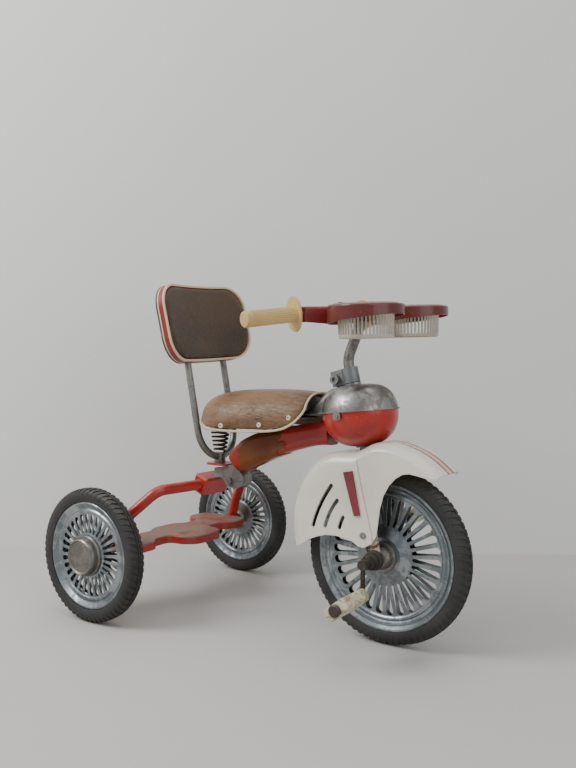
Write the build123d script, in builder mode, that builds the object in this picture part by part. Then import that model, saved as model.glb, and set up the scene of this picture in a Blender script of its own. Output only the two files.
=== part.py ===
"""Vintage children's tricycle: pressed steel, sprung saddle, two handlebar baskets.

Millimetres, +X forward, +Y to the rider's left, +Z up.  The origin lies on the
ground, midway between the back of the rear tyres and the front of the front
tyre.
"""
import os
from math import atan2
from math import cos
from math import degrees
from math import pi
from math import radians
from math import sin
from math import sqrt

from build123d import *

os.makedirs("parts", exist_ok=True)

# ---------------------------------------------------------------- wheelbase
REAR_X = -233.0
FRONT_X = 207.0
TRACK_HALF = 199.4

# ---------------------------------------------------------------- rear wheels
REAR_RADIUS = 110.0
REAR_FLANGE_RADIUS = 86.2
REAR_TYRE_HALF = 14.8
REAR_FLANGE_HALF = 10.9
REAR_SLOTS = 30
REAR_SLOT_IN = 38.5
REAR_SLOT_OUT = 63.5
REAR_AXLE_RADIUS = 6.0

# ---------------------------------------------------------------- front wheel
FRONT_RADIUS = 136.2
FRONT_FLANGE_RADIUS = 112.5
FRONT_TYRE_HALF = 15.5
FRONT_FLANGE_HALF = 13.9
FRONT_SLOTS = 30
FRONT_SLOT_IN = 48.5
FRONT_SLOT_OUT = 85.5
FRONT_AXLE_RADIUS = 5.5
FRONT_CENTRE = (FRONT_X, 0.0, FRONT_RADIUS)
CRANK_LENGTH = 47.0
CRANK_Y = 77.0
PEDAL_NEAR_Y = 91.0
PEDAL_FAR_Y = 154.0
PEDAL_TILT = 40.0

# ---------------------------------------------------------------- steering
RAKE = 13.94
HEAD_X = 156.5
RIM_Z = 355.5
RIM_TILT = 6.0
BOWL_RADIUS = 60.0
SHEET = 1.6

# ---------------------------------------------------------------- handlebar
BAR_TOP = 520.0
BAR_ROLL = 3.2
RING_X = 207.0
RING_Y = 80.0
RING_RADIUS = 56.0
BASKET_RADIUS = 41.6
BASKET_BOTTOM = 470.0
BASKET_SLOTS = 44
GRIP_NEAR = (101.0, 100.0, 509.0)
GRIP_FAR = (69.0, 190.0, 500.5)
GRIP_RADIUS = 12.0

# ---------------------------------------------------------------- seat and back
SPRING_X = -127.5
SPRING_BOTTOM = 269.5
SPRING_TOP = 312.0
BACK_WIDTH = 226.0
BACK_HEIGHT = 138.0
BACK_LEAN = 12.0
BACK_ROLL = 3.4


def finish(part, name):
    """Label one finished piece and write its STEP file."""
    part.label = name
    export_step(part, "parts/" + name + ".step")


def steer_point(distance, forward=0.0, side=0.0):
    """Point on or beside the raked steering axis, measured from the front axle."""
    lean = radians(RAKE)
    x = FRONT_X - distance * sin(lean) + forward * cos(lean)
    z = FRONT_RADIUS + distance * cos(lean) + forward * sin(lean)
    return (x, side, z)


def steer_plane(distance):
    """Plane square to the steering axis at a distance above the front axle."""
    lean = radians(RAKE)
    return Plane(
        origin=steer_point(distance),
        x_dir=(cos(lean), 0, sin(lean)),
        z_dir=(-sin(lean), 0, cos(lean)),
    )


def rim_plane(height=0.0):
    """Plane of the head bowl's rim, or one parallel to it."""
    lean = radians(RIM_TILT)
    return Plane(
        origin=(HEAD_X - height * sin(lean), 0, RIM_Z + height * cos(lean)),
        x_dir=(cos(lean), 0, sin(lean)),
        z_dir=(-sin(lean), 0, cos(lean)),
    )


def radial_plane(centre, side):
    """Sketch plane through a wheel's axle: local x is radius, local y is outward."""
    return Plane(origin=centre, x_dir=(1, 0, 0), z_dir=(0, 0, side))


def face_plane(centre):
    """Sketch plane parallel to a wheel: local x is forward, local y is up."""
    return Plane(origin=centre, x_dir=(1, 0, 0), z_dir=(0, -1, 0))


def along(start, end):
    """Plane at the start of a straight rod, facing its far end, local x forward."""
    direction = Vector(*end) - Vector(*start)
    return Plane(origin=start, x_dir=(1, 0, 0), z_dir=tuple(direction))


def distance_between(start, end):
    """Length of a straight rod."""
    return (Vector(*end) - Vector(*start)).length


def annulus(centre, outer, inner, low, high, side):
    """Turned ring about a wheel axle between two outward offsets."""
    with BuildPart() as ring:
        with BuildSketch(radial_plane(centre, side)):
            with BuildLine():
                Polyline((inner, low), (outer, low), (outer, high), (inner, high), close=True)
            make_face()
        revolve(axis=Axis(centre, (0, 1, 0)))
    return ring.part


def turned(centre, outline, side):
    """Solid of revolution about a wheel axle from an outline of (radius, outward)."""
    with BuildPart() as body:
        with BuildSketch(radial_plane(centre, side)):
            with BuildLine():
                Polyline(*outline, close=True)
            make_face()
        revolve(axis=Axis(centre, (0, 1, 0)))
    return body.part


def wheel_disc(centre, side, outer_line, bore, slots, slot_in, slot_out, widths, sheet):
    """Pressed wheel half with raised rings and a ring of tapered radial slots."""
    inner_line = [(r, y - sheet) for r, y in reversed(outer_line)]
    with BuildSketch() as slot:
        with Locations((slot_in, 0)):
            Circle(widths[0])
        with Locations((slot_out, 0)):
            Circle(widths[1])
        make_hull()
    with BuildPart() as disc:
        with BuildSketch(radial_plane(centre, side)):
            with BuildLine():
                Polyline((bore, outer_line[0][1]), *outer_line, *inner_line,
                         (bore, outer_line[0][1] - sheet), close=True)
            make_face()
        revolve(axis=Axis(centre, (0, 1, 0)))
        with BuildSketch(face_plane(centre)):
            with PolarLocations(0, slots):
                add(slot.sketch)
        extrude(amount=-40 * side, mode=Mode.SUBTRACT)
    return disc.part


# ================================================================ rear wheels
def make_rear_wheel(name, side):
    """Tyre, channel rim, two slotted discs, hub sleeve and outer hub cap."""
    centre = (REAR_X, side * TRACK_HALF, REAR_RADIUS)
    tread = [
        (88.2, -10.2), (90.0, -12.6), (94.0, -14.3), (99.0, -REAR_TYRE_HALF),
        (104.0, -14.0), (107.6, -11.6), (109.4, -8.0), (REAR_RADIUS, -4.0),
        (REAR_RADIUS, -1.2), (108.6, -0.8), (108.6, 0.8), (REAR_RADIUS, 1.2),
        (REAR_RADIUS, 4.0), (109.4, 8.0), (107.6, 11.6), (104.0, 14.0),
        (99.0, REAR_TYRE_HALF), (94.0, 14.3), (90.0, 12.6), (88.2, 10.2),
        (81.0, 7.4), (81.0, -7.4),
    ]
    finish(turned(centre, tread, side), name + "_tyre")
    outer_line = [
        (27.0, 10.5), (34.0, 10.5), (38.0, 9.2), (60.0, 7.6), (68.5, 7.0),
        (70.5, 8.2), (73.5, 8.2), (75.5, 6.6), (78.0, 7.0), (81.4, 9.9),
        (84.4, 12.0), (REAR_FLANGE_RADIUS, 12.3), (87.4, 11.6),
    ]
    finish(
        wheel_disc(centre, side, outer_line, 24.0, REAR_SLOTS, REAR_SLOT_IN,
                   REAR_SLOT_OUT, (1.9, 4.0), 1.4),
        name + "_disc_outer",
    )
    with BuildPart() as inner:
        add(wheel_disc(centre, -side, outer_line, 24.0, REAR_SLOTS, REAR_SLOT_IN,
                       REAR_SLOT_OUT, (1.9, 4.0), 1.4))
        add(annulus(centre, 80.95, 78.6, -6.6, 5.4, side))
    finish(inner.part, name + "_disc_inner")
    sleeve = [
        (REAR_AXLE_RADIUS + 0.05, -17.0), (12.0, -17.0), (14.0, -15.0), (16.0, -10.6),
        (23.9, -10.6), (23.9, 10.6), (16.0, 10.6), (12.0, 13.0), (12.0, 16.0),
        (REAR_AXLE_RADIUS + 0.05, 16.0),
    ]
    finish(turned(centre, sleeve, side), name + "_hub")
    cap = [
        (31.5, 10.6), (33.5, 10.6), (33.2, 13.5), (31.2, 16.0), (30.6, 23.0),
        (29.4, 26.6), (27.4, 28.4), (26.0, 27.6), (24.6, 26.6), (12.0, 27.4),
        (0.0, 27.7), (0.0, 26.2), (12.0, 25.9), (24.0, 25.1), (26.8, 25.6),
        (28.2, 24.8), (29.1, 22.4), (29.8, 15.6), (31.5, 13.2),
    ]
    finish(turned(centre, cap, side), name + "_cap")


make_rear_wheel("rear_right", -1)
make_rear_wheel("rear_left", 1)

# Solid rear axle, with a shoulder collar inside each wheel.
with BuildPart() as rear_axle:
    with BuildSketch(Plane(origin=(REAR_X, -214.0, REAR_RADIUS), x_dir=(1, 0, 0), z_dir=(0, 1, 0))):
        Circle(REAR_AXLE_RADIUS)
    extrude(amount=428.0)
    for side in (-1, 1):
        with BuildSketch(
            Plane(origin=(REAR_X, side * 182.2, REAR_RADIUS), x_dir=(1, 0, 0), z_dir=(0, -side, 0))
        ):
            Circle(9.5)
        extrude(amount=3.0)
finish(rear_axle.part, "rear_axle")

# ================================================================ front wheel
front_tread = [
    (114.6, -12.2), (116.4, -13.8), (120.5, -FRONT_TYRE_HALF), (126.5, -15.0),
    (131.0, -12.8), (134.2, -9.4), (135.8, -5.0), (FRONT_RADIUS, -1.2),
    (134.6, -0.8), (134.6, 0.8), (FRONT_RADIUS, 1.2), (135.8, 5.0),
    (134.2, 9.4), (131.0, 12.8), (126.5, 15.0), (120.5, FRONT_TYRE_HALF),
    (116.4, 13.8), (114.6, 12.2), (106.2, 8.1), (106.2, -8.1),
]
finish(turned(FRONT_CENTRE, front_tread, 1), "front_tyre")
front_line = [
    (25.0, 13.6), (29.0, 13.8), (33.0, 12.6), (45.0, 9.4), (60.0, 8.6), (88.0, 6.6),
    (93.0, 6.4), (95.0, 7.6), (98.0, 7.6), (100.0, 6.4), (102.4, 7.4), (104.4, 7.6),
    (106.6, 10.8), (110.4, 14.6), (FRONT_FLANGE_RADIUS, 15.0), (113.9, 14.2),
]
for side, name in ((-1, "front_disc_right"), (1, "front_disc_left")):
    with BuildPart() as half:
        add(wheel_disc(FRONT_CENTRE, side, front_line, 16.0, FRONT_SLOTS, FRONT_SLOT_IN,
                       FRONT_SLOT_OUT, (2.5, 6.1), 1.5))
        if side > 0:
            add(annulus(FRONT_CENTRE, 106.1, 103.6, -5.8, 7.6, 1))
    finish(half.part, name)
hub_outline = [
    (FRONT_AXLE_RADIUS + 0.05, -36.0), (9.0, -36.0), (14.5, -34.0), (18.0, -27.0),
    (19.0, -17.5), (22.4, -16.6), (23.0, -14.6), (21.0, -13.9), (15.95, -13.9),
    (15.95, 13.9), (21.0, 13.9), (23.0, 14.6), (22.4, 16.6), (19.0, 17.5),
    (18.0, 27.0), (14.5, 34.0), (9.0, 36.0), (FRONT_AXLE_RADIUS + 0.05, 36.0),
]
finish(turned(FRONT_CENTRE, hub_outline, 1), "front_hub")

# One bent rod makes the axle and both cranks, a half turn apart.
with BuildPart() as front_axle:
    with BuildSketch(Plane(origin=(FRONT_X, -CRANK_Y - 4.0, FRONT_RADIUS), x_dir=(1, 0, 0),
                           z_dir=(0, 1, 0))):
        Circle(FRONT_AXLE_RADIUS)
    extrude(amount=2 * (CRANK_Y + 4.0))
    for side in (-1, 1):
        with BuildSketch(Plane(origin=(FRONT_X, side * CRANK_Y, FRONT_RADIUS), x_dir=(1, 0, 0),
                               z_dir=(0, side, 0))):
            Circle(7.0)
        extrude(amount=5.0, both=True)
        with BuildSketch(Plane(origin=(FRONT_X, side * CRANK_Y, FRONT_RADIUS), x_dir=(1, 0, 0),
                               z_dir=(0, 0, side))):
            Circle(3.6)
        extrude(amount=CRANK_LENGTH)
        with BuildSketch(Plane(origin=(FRONT_X, side * (CRANK_Y - 5.0),
                                       FRONT_RADIUS + side * CRANK_LENGTH),
                               x_dir=(1, 0, 0), z_dir=(0, side, 0))):
            Circle(4.9)
        extrude(amount=10.0)
        with BuildSketch(Plane(origin=(FRONT_X, side * (CRANK_Y + 5.0),
                                       FRONT_RADIUS + side * CRANK_LENGTH),
                               x_dir=(1, 0, 0), z_dir=(0, side, 0))):
            Circle(3.8)
        extrude(amount=PEDAL_FAR_Y - CRANK_Y - 3.0)
finish(front_axle.part, "front_axle")


# ================================================================ pedals
def make_pedal(name, side):
    """Moulded block with a waist notch and a dark turned end cap."""
    centre_z = FRONT_RADIUS + side * CRANK_LENGTH
    tilt = radians(PEDAL_TILT)
    block_plane = Plane(
        origin=(FRONT_X, side * PEDAL_NEAR_Y, centre_z),
        x_dir=(cos(tilt), 0, sin(tilt)),
        z_dir=(0, side, 0),
    )
    length = PEDAL_FAR_Y - PEDAL_NEAR_Y
    with BuildPart() as block:
        with BuildSketch(block_plane):
            RectangleRounded(41.0, 19.0, 6.0)
        extrude(amount=length)
        fillet(block.edges().group_by(Axis.Y)[0], radius=2.0)
        fillet(block.edges().group_by(Axis.Y)[-1], radius=2.0)
        with BuildSketch(block_plane.offset(length * 0.44)):
            with Locations((0, 9.2), (0, -9.2)):
                Rectangle(60.0, 3.0)
        extrude(amount=length * 0.14, mode=Mode.SUBTRACT)
        with BuildSketch(block_plane.offset(-1.0)):
            Circle(3.85)
        extrude(amount=length + 2.0, mode=Mode.SUBTRACT)
    finish(block.part, name)
    outer = side * (PEDAL_FAR_Y + 0.2)
    with BuildPart() as cap:
        with BuildSketch(Plane(origin=(FRONT_X, outer, centre_z), x_dir=(1, 0, 0),
                               z_dir=(0, side, 0))):
            Circle(9.0)
        extrude(amount=6.0)
        fillet(cap.edges().group_by(Axis.Y)[0 if side < 0 else -1], radius=2.4)
        with BuildSketch(Plane(origin=(FRONT_X, outer, centre_z), x_dir=(1, 0, 0),
                               z_dir=(0, side, 0))):
            Circle(3.85)
        extrude(amount=3.5, mode=Mode.SUBTRACT)
    finish(cap.part, name + "_cap")


make_pedal("pedal_right", -1)
make_pedal("pedal_left", 1)

# ================================================================ front fender
FENDER_HALF = 45.0
FENDER_FRONT_HALF = 43.2
FENDER_CROWN = [
    (59, 138), (55, 160), (54, 189), (58.5, 214), (67.5, 238), (81, 260), (97, 277),
    (113, 287.5), (130, 292.5), (150, 294), (166, 295.5), (180, 301), (192, 307.5),
    (206, 311.5), (223, 312), (243, 308), (262, 301.5), (280, 293), (296, 282),
    (309, 271),
]
FENDER_HEM = [
    (309, 271), (304, 266), (293, 265.5), (284, 266.5), (273, 268.5), (262, 270),
    (251, 268), (240, 261), (230, 250), (221, 234), (215.5, 214), (212.5, 190),
    (210, 172), (203, 160), (190, 152.5), (181, 153.5), (170, 160), (156, 163.5),
    (140, 164.5), (124, 163.5), (108, 159), (92, 152), (79, 143.5), (68, 137.5),
    (59, 138),
]


def shrunk_line(points, factor):
    """Copy of an open line shrunk a little toward the middle of the fender."""
    return [(185 + (x - 185) * factor, 200 + (z - 200) * factor) for x, z in points]


def fender_volume(crown, hem, half, rounding):
    """Closed volume under a crown line, rounded over along both shoulders."""
    with BuildPart() as volume:
        with BuildSketch(Plane.XZ):
            with BuildLine():
                Spline(*crown)
                Polyline(*hem)
            make_face()
        extrude(amount=half, both=True)
        shoulders = volume.edges().filter_by(
            lambda edge: edge.geom_type == GeomType.BSPLINE and abs(edge.center().Y) > half - 1
        )
        fillet(shoulders, radius=rounding)
    return volume.part


with BuildSketch() as fender_plan:
    with BuildLine():
        Polyline((40, -50), (297, -50), (307, -38), (311, -22), (311, 22), (307, 38),
                 (297, 50), (40, 50), close=True)
    make_face()
inner_crown = shrunk_line(FENDER_CROWN, 0.985)
inner_tail = inner_crown[0]
inner_nose = inner_crown[-1]
inner_hem = [
    inner_nose, (inner_nose[0] + 1, 100), (90, 100), (inner_tail[0] + 9, inner_tail[1] - 14),
    inner_tail,
]
with BuildPart() as front_fender:
    add(fender_volume(FENDER_CROWN, FENDER_HEM, FENDER_HALF, 21.0))
    with BuildSketch():
        add(fender_plan.sketch)
    extrude(amount=400, mode=Mode.INTERSECT)
    add(fender_volume(inner_crown, inner_hem, FENDER_FRONT_HALF - SHEET, 19.5),
        mode=Mode.SUBTRACT)
    for side in (-1, 1):
        with BuildSketch(Plane.XZ.offset(-side * FENDER_FRONT_HALF)):
            with BuildLine():
                Polyline((170, 330), (173, 290), (185, 240), (203, 172), (206, 150),
                         (340, 150), (340, 330), close=True)
            make_face()
        extrude(amount=-side * 10, mode=Mode.SUBTRACT)
    for points in (
        ((132, 241), (113, 210), (100, 176)),
        ((143, 219), (130, 199), (122, 177.5)),
        ((153.5, 194), (150, 186), (147.5, 178)),
    ):
        with BuildLine() as slot_line:
            ThreePointArc(*[(x, z) for x, z in points])
        with BuildSketch(Plane.XZ):
            SlotArc(slot_line.edge(), 6.6)
        extrude(amount=60, both=True, mode=Mode.SUBTRACT)
    with BuildSketch(steer_plane(120)):
        Circle(9.3)
    extrude(amount=60, mode=Mode.SUBTRACT)
finish(front_fender.part, "front_fender")

# Long ribbed side reflectors, one on each cheek of the fender.
with BuildPart() as fender_reflectors:
    for side in (-1, 1):
        with BuildSketch(Plane.XZ.offset(-side * (FENDER_HALF + 0.05))):
            with BuildLine():
                Polyline((154.5, 264), (169.5, 267), (184, 200.5), (174.5, 199), close=True)
            make_face()
        extrude(amount=-side * 3.4)
finish(fender_reflectors.part, "fender_reflectors")

# Eyelet bolts that tie the fender cheeks to the fork blades.
with BuildPart() as fender_bolts:
    for side in (-1, 1):
        with BuildSketch(Plane.XZ.offset(-side * (FENDER_HALF + 0.05))):
            with Locations((189, 171)):
                Circle(5.0)
                Circle(2.0, mode=Mode.SUBTRACT)
        extrude(amount=-side * 2.0)
finish(fender_bolts.part, "fender_bolts")

# ================================================================ fork and head
with BuildPart() as fork:
    with BuildSketch(steer_plane(147.0)):
        Circle(9.0)
    extrude(amount=124.0)
    with BuildSketch(steer_plane(271.0)):
        Circle(8.6)
    extrude(amount=13.0)
    with BuildSketch(steer_plane(142.0)):
        Rectangle(26.0, 81.0)
    extrude(amount=5.0)
    for side in (-1, 1):
        blade_plane = Plane(
            origin=(FRONT_X, side * 36.7, FRONT_RADIUS),
            x_dir=(cos(radians(RAKE)), 0, sin(radians(RAKE))),
            z_dir=(0, -1, 0),
        )
        with BuildSketch(blade_plane):
            Circle(13.0)
            with Locations((0, 71.0)):
                Rectangle(22.0, 142.0)
            Circle(FRONT_AXLE_RADIUS + 0.06, mode=Mode.SUBTRACT)
        extrude(amount=-side * 3.8)
finish(fork.part, "fork")

# Turned bearing housings outside the fork ends.
with BuildPart() as axle_housings:
    for side in (-1, 1):
        with BuildSketch(radial_plane(FRONT_CENTRE, side)):
            with BuildLine():
                Polyline((FRONT_AXLE_RADIUS + 0.06, 40.6), (15.0, 40.6), (15.0, 45.0),
                         (12.5, 47.5), (12.5, 56.0), (9.5, 57.0), (9.5, 67.0),
                         (FRONT_AXLE_RADIUS + 0.06, 67.0), close=True)
            make_face()
        revolve(axis=Axis(FRONT_CENTRE, (0, 1, 0)))
finish(axle_housings.part, "axle_housings")

BOWL_LINE = [(60.0, 0.0), (59.6, -8.0), (57.4, -20.0), (52.0, -32.0), (42.5, -43.0),
             (29.0, -51.0), (14.0, -54.6)]
COVER_LINE = [(60.0, 2.2), (58.2, 12.5), (52.5, 25.0), (42.5, 35.5), (28.0, 41.0),
              (14.0, 42.4)]
RIM_AXIS = Axis((HEAD_X, 0, RIM_Z), (-sin(radians(RIM_TILT)), 0, cos(radians(RIM_TILT))))
RIM_SECTION = Plane(
    origin=(HEAD_X, 0, RIM_Z),
    x_dir=(cos(radians(RIM_TILT)), 0, sin(radians(RIM_TILT))),
    z_dir=(0, -1, 0),
)


def rim_turned(line, flat_end, top, inset):
    """Solid turned about the bowl's own axis from a half profile."""
    with BuildPart() as body:
        with BuildSketch(RIM_SECTION):
            with BuildLine():
                Spline(*[(r - inset * (r > 15), w - top * inset) for r, w in line])
                Polyline((line[-1][0], line[-1][1] - top * inset), (0, flat_end - top * inset),
                         (0, line[0][1] - top * inset),
                         (line[0][0] - inset, line[0][1] - top * inset))
            make_face()
        revolve(axis=RIM_AXIS)
    return body.part


bowl_outer = rim_turned(BOWL_LINE, -55.0, -1, 0.0)
bowl_inner = rim_turned(BOWL_LINE, -55.0, -1, 2.0)
cover_outer = rim_turned(COVER_LINE, 42.8, 1, 0.0)
cover_inner = rim_turned(COVER_LINE, 42.8, 1, 1.6)

with BuildPart() as head_bowl:
    add(bowl_outer)
    add(bowl_inner, mode=Mode.SUBTRACT)
    with BuildSketch(rim_plane(-1.9)):
        Circle(58.0)
    extrude(amount=20, mode=Mode.SUBTRACT)
    with BuildSketch(steer_plane(150)):
        Circle(14.05)
    extrude(amount=60, mode=Mode.SUBTRACT)
finish(head_bowl.part, "head_bowl")

# Bright cover: dome, wedge tail over the beam, and a flat rim all round.
WEDGE_SIDE = [(-99, 2.0), (-87, 8.0), (-75, 15.5), (-61, 25.5), (-49, 34.5), (-35, 39.0),
              (-10, 40), (-10, 2.0)]
with BuildPart() as cover_wedge:
    with BuildSketch(RIM_SECTION):
        with BuildLine():
            Spline(*WEDGE_SIDE[:6])
            Polyline(*WEDGE_SIDE[5:], WEDGE_SIDE[0])
        make_face()
    extrude(amount=22, both=True)
    fillet(
        cover_wedge.edges().filter_by(
            lambda edge: edge.geom_type == GeomType.BSPLINE and abs(edge.center().Y) > 20
        ),
        radius=9.0,
    )
with BuildPart() as bowl_cover:
    with BuildSketch(rim_plane(0.15)):
        Circle(62.5)
        with Locations((-88.0, 0)):
            RectangleRounded(32.0, 44.0, 10.0)
        make_hull()
    extrude(amount=2.0)
    add(cover_outer)
    add(cover_wedge.part)
    add(cover_inner, mode=Mode.SUBTRACT)
    with BuildSketch(rim_plane(-2.0)):
        Circle(56.5)
    extrude(amount=6.0, mode=Mode.SUBTRACT)
    with BuildSketch(steer_plane(200)):
        Circle(14.05)
    extrude(amount=100, mode=Mode.SUBTRACT)
finish(bowl_cover.part, "bowl_cover")

with BuildPart() as head_tube:
    with BuildSketch(steer_plane(169.5)):
        Circle(14.0)
        Circle(9.05, mode=Mode.SUBTRACT)
    extrude(amount=100.8)
finish(head_tube.part, "head_tube")

# Side tabs that clamp the cover, each with a round screw.
with BuildPart() as cover_tabs:
    for side in (-1, 1):
        tab_plane = Plane(
            origin=(150.0, side * 62.6, RIM_Z),
            x_dir=(cos(radians(RIM_TILT)), 0, sin(radians(RIM_TILT))),
            z_dir=(0, -1, 0),
        )
        with BuildSketch(tab_plane):
            with Locations((0, -6.0)):
                RectangleRounded(13.0, 11.0, 4.0)
        extrude(amount=-side * 1.5)
        with BuildSketch(tab_plane.offset(-side * 1.5)):
            with Locations((0, -6.5)):
                Circle(3.2)
        extrude(amount=-side * 1.6)
finish(cover_tabs.part, "cover_tabs")

# ================================================================ frame beam
def beam_section(x, z, tilt, width, height):
    """Rounded cross-section of the pressed beam at one station."""
    lean = radians(tilt)
    with BuildSketch(
        Plane(origin=(x, 0, z), x_dir=(0, 1, 0), z_dir=(cos(lean), 0, sin(lean)))
    ) as section:
        RectangleRounded(width, height, 13.0)
    return section.sketch


with BuildPart() as beam:
    add(beam_section(108, 320, 2, 42, 42))
    add(beam_section(57, 311, 12, 40, 39))
    add(beam_section(10, 299, 15, 42, 44))
    add(beam_section(-19, 290, 18, 43, 48))
    add(beam_section(-50, 277, 27, 43, 50))
    add(beam_section(-84, 255, 43, 40, 38))
    loft()
    add(bowl_outer, mode=Mode.SUBTRACT)
    add(cover_outer, mode=Mode.SUBTRACT)
finish(beam.part, "beam")

# ================================================================ rear structure
ARCH_X = -148.0
ARCH_Z = 214.0
ARCH_TUBE = 9.3

with BuildPart() as rear_arch:
    for side in (-1, 1):
        with BuildLine() as leg_line:
            FilletPolyline(
                (ARCH_X, side * 33.6, ARCH_Z), (ARCH_X - 17, side * 119, ARCH_Z - 2),
                (REAR_X + 15, side * 160, 152), (REAR_X, side * 169.3, REAR_RADIUS + 4),
                radius=30,
            )
        with BuildSketch(Plane(origin=(ARCH_X, side * 33.6, ARCH_Z), x_dir=(1, 0, 0),
                               z_dir=(0, side, 0))):
            Circle(ARCH_TUBE)
        sweep(path=leg_line.wire())
        with BuildSketch(Plane(origin=(REAR_X, side * 163.0, REAR_RADIUS), x_dir=(1, 0, 0),
                               z_dir=(0, side, 0))):
            Circle(13.5)
        extrude(amount=12.6)
        with BuildSketch(Plane(origin=(REAR_X, side * 150.0, REAR_RADIUS), x_dir=(1, 0, 0),
                               z_dir=(0, side, 0))):
            Circle(REAR_AXLE_RADIUS + 0.05)
        extrude(amount=40, mode=Mode.SUBTRACT)
finish(rear_arch.part, "rear_arch")

with BuildPart() as arch_block:
    with BuildSketch(Plane(origin=(ARCH_X, -33.5, ARCH_Z), x_dir=(1, 0, 0), z_dir=(0, 1, 0))):
        RectangleRounded(31.0, 33.0, 5.0, rotation=22)
    extrude(amount=67.0)
    chamfer(arch_block.faces().sort_by(Axis.Y)[0].edges(), length=4.0)
    chamfer(arch_block.faces().sort_by(Axis.Y)[-1].edges(), length=4.0)
finish(arch_block.part, "arch_block")

with BuildPart() as spring_plate:
    with BuildSketch(Plane.XY.offset(249.0)):
        with Locations((-122.0, 0)):
            RectangleRounded(48.0, 42.0, 10.0)
    extrude(amount=3.6)
    add(beam.part, mode=Mode.SUBTRACT)
finish(spring_plate.part, "spring_plate")

# Folded bracket that joins the beam's tail to the arch block.
with BuildPart() as beam_bracket:
    with BuildSketch(Plane.XZ):
        with BuildLine():
            Polyline((-110, 248.5), (-92, 252), (-76, 246), (-67, 235), (-64, 226), (-68, 217),
                     (-78, 211.5), (-92, 211.5), (-104, 217), (-112, 228), close=True)
        make_face()
    extrude(amount=13, both=True)
    with BuildSketch(Plane.XZ):
        with BuildLine():
            Polyline((-120, 205), (-120, 243), (-92, 247), (-80, 243), (-71, 232), (-71, 205),
                     close=True)
        make_face()
    extrude(amount=10, both=True, mode=Mode.SUBTRACT)
    with BuildSketch(Plane.XZ):
        with Locations((-119.0, 235.0)):
            Rectangle(26.0, 16.0)
    extrude(amount=9.9, both=True)
    add(beam.part, mode=Mode.SUBTRACT)
    add(arch_block.part, mode=Mode.SUBTRACT)
    add(spring_plate.part, mode=Mode.SUBTRACT)
    with BuildSketch(Plane.XZ):
        with Locations((-94, 224)):
            Circle(4.05)
    extrude(amount=30, both=True, mode=Mode.SUBTRACT)
finish(beam_bracket.part, "beam_bracket")

with BuildPart() as bracket_bolt:
    with BuildSketch(Plane.XZ):
        with Locations((-94, 224)):
            Circle(4.0)
    extrude(amount=15.5, both=True)
    with BuildSketch(Plane.XZ.offset(13.1)):
        with Locations((-94, 224)):
            RegularPolygon(6.8, 6)
    extrude(amount=5.0)
    with BuildSketch(Plane.XZ.offset(-13.1)):
        with Locations((-94, 224)):
            RegularPolygon(6.8, 6)
    extrude(amount=-5.0)
finish(bracket_bolt.part, "bracket_bolt")

# ---------------------------------------------------------------- step plate
with BuildSketch() as step_plan:
    with Locations((-208.5, 0)):
        RectangleRounded(117.0, 100.0, 34.0)
    with Locations((-226.0, 0)):
        RectangleRounded(54.0, 200.0, 8.0)
    for side in (-1, 1):
        with Locations((-237.0, side * 123.0)):
            RectangleRounded(110.0, 68.0, 26.0)
    offset(amount=13.0, mode=Mode.REPLACE)
    offset(amount=-21.0, mode=Mode.REPLACE)
    offset(amount=8.0, mode=Mode.REPLACE)
with BuildPart() as step_plate:
    with BuildSketch(Plane.XY.offset(107.0)):
        add(step_plan.sketch)
    extrude(amount=14.0)
    fillet(step_plate.faces().sort_by(Axis.Z)[-1].edges(), radius=3.0)
    with BuildSketch(Plane.XY.offset(105.0)):
        offset(step_plan.sketch, amount=-1.8)
    extrude(amount=14.2, mode=Mode.SUBTRACT)
    with BuildSketch(Plane(origin=(REAR_X, -170.0, REAR_RADIUS), x_dir=(1, 0, 0), z_dir=(0, 1, 0))):
        Circle(REAR_AXLE_RADIUS + 0.6)
    extrude(amount=340.0, mode=Mode.SUBTRACT)
finish(step_plate.part, "step_plate")

# Bent straps that hold the step plate to the axle.
with BuildPart() as axle_straps:
    for side in (-1, 1):
        with BuildSketch(Plane(origin=(REAR_X, side * 60.0, REAR_RADIUS), x_dir=(1, 0, 0),
                               z_dir=(0, side, 0))):
            Circle(9.0)
            with Locations((0, 6.5 * side)):
                Rectangle(34.0, 5.0)
            Circle(REAR_AXLE_RADIUS + 0.05, mode=Mode.SUBTRACT)
        extrude(amount=16.0)
finish(axle_straps.part, "axle_straps")

# ---------------------------------------------------------------- back tube
TUBE_X = -137.5
TUBE_HALF = 49.0
TUBE_FOOT_Z = 311.0


def lean_point(height, forward=0.0, side=0.0):
    """Point beside the leaning centre line of the back tube."""
    lean = radians(BACK_LEAN)
    rise = height - TUBE_FOOT_Z
    x = TUBE_X - rise * sin(lean) / cos(lean) + forward * cos(lean)
    return (x, side, height + forward * sin(lean))


TUBE_FLOOR = lean_point(TUBE_FOOT_Z - TUBE_HALF * cos(radians(BACK_LEAN)))
with BuildPart() as back_tube:
    with BuildLine() as tube_line:
        Line(lean_point(538, 0, -TUBE_HALF), lean_point(TUBE_FOOT_Z, 0, -TUBE_HALF))
        ThreePointArc(lean_point(TUBE_FOOT_Z, 0, -TUBE_HALF), TUBE_FLOOR,
                      lean_point(TUBE_FOOT_Z, 0, TUBE_HALF))
        Line(lean_point(TUBE_FOOT_Z, 0, TUBE_HALF), lean_point(538, 0, TUBE_HALF))
    with BuildSketch(along(lean_point(538, 0, -TUBE_HALF), lean_point(400, 0, -TUBE_HALF))):
        Circle(6.0)
    sweep(path=tube_line.wire())
finish(back_tube.part, "back_tube")

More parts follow.
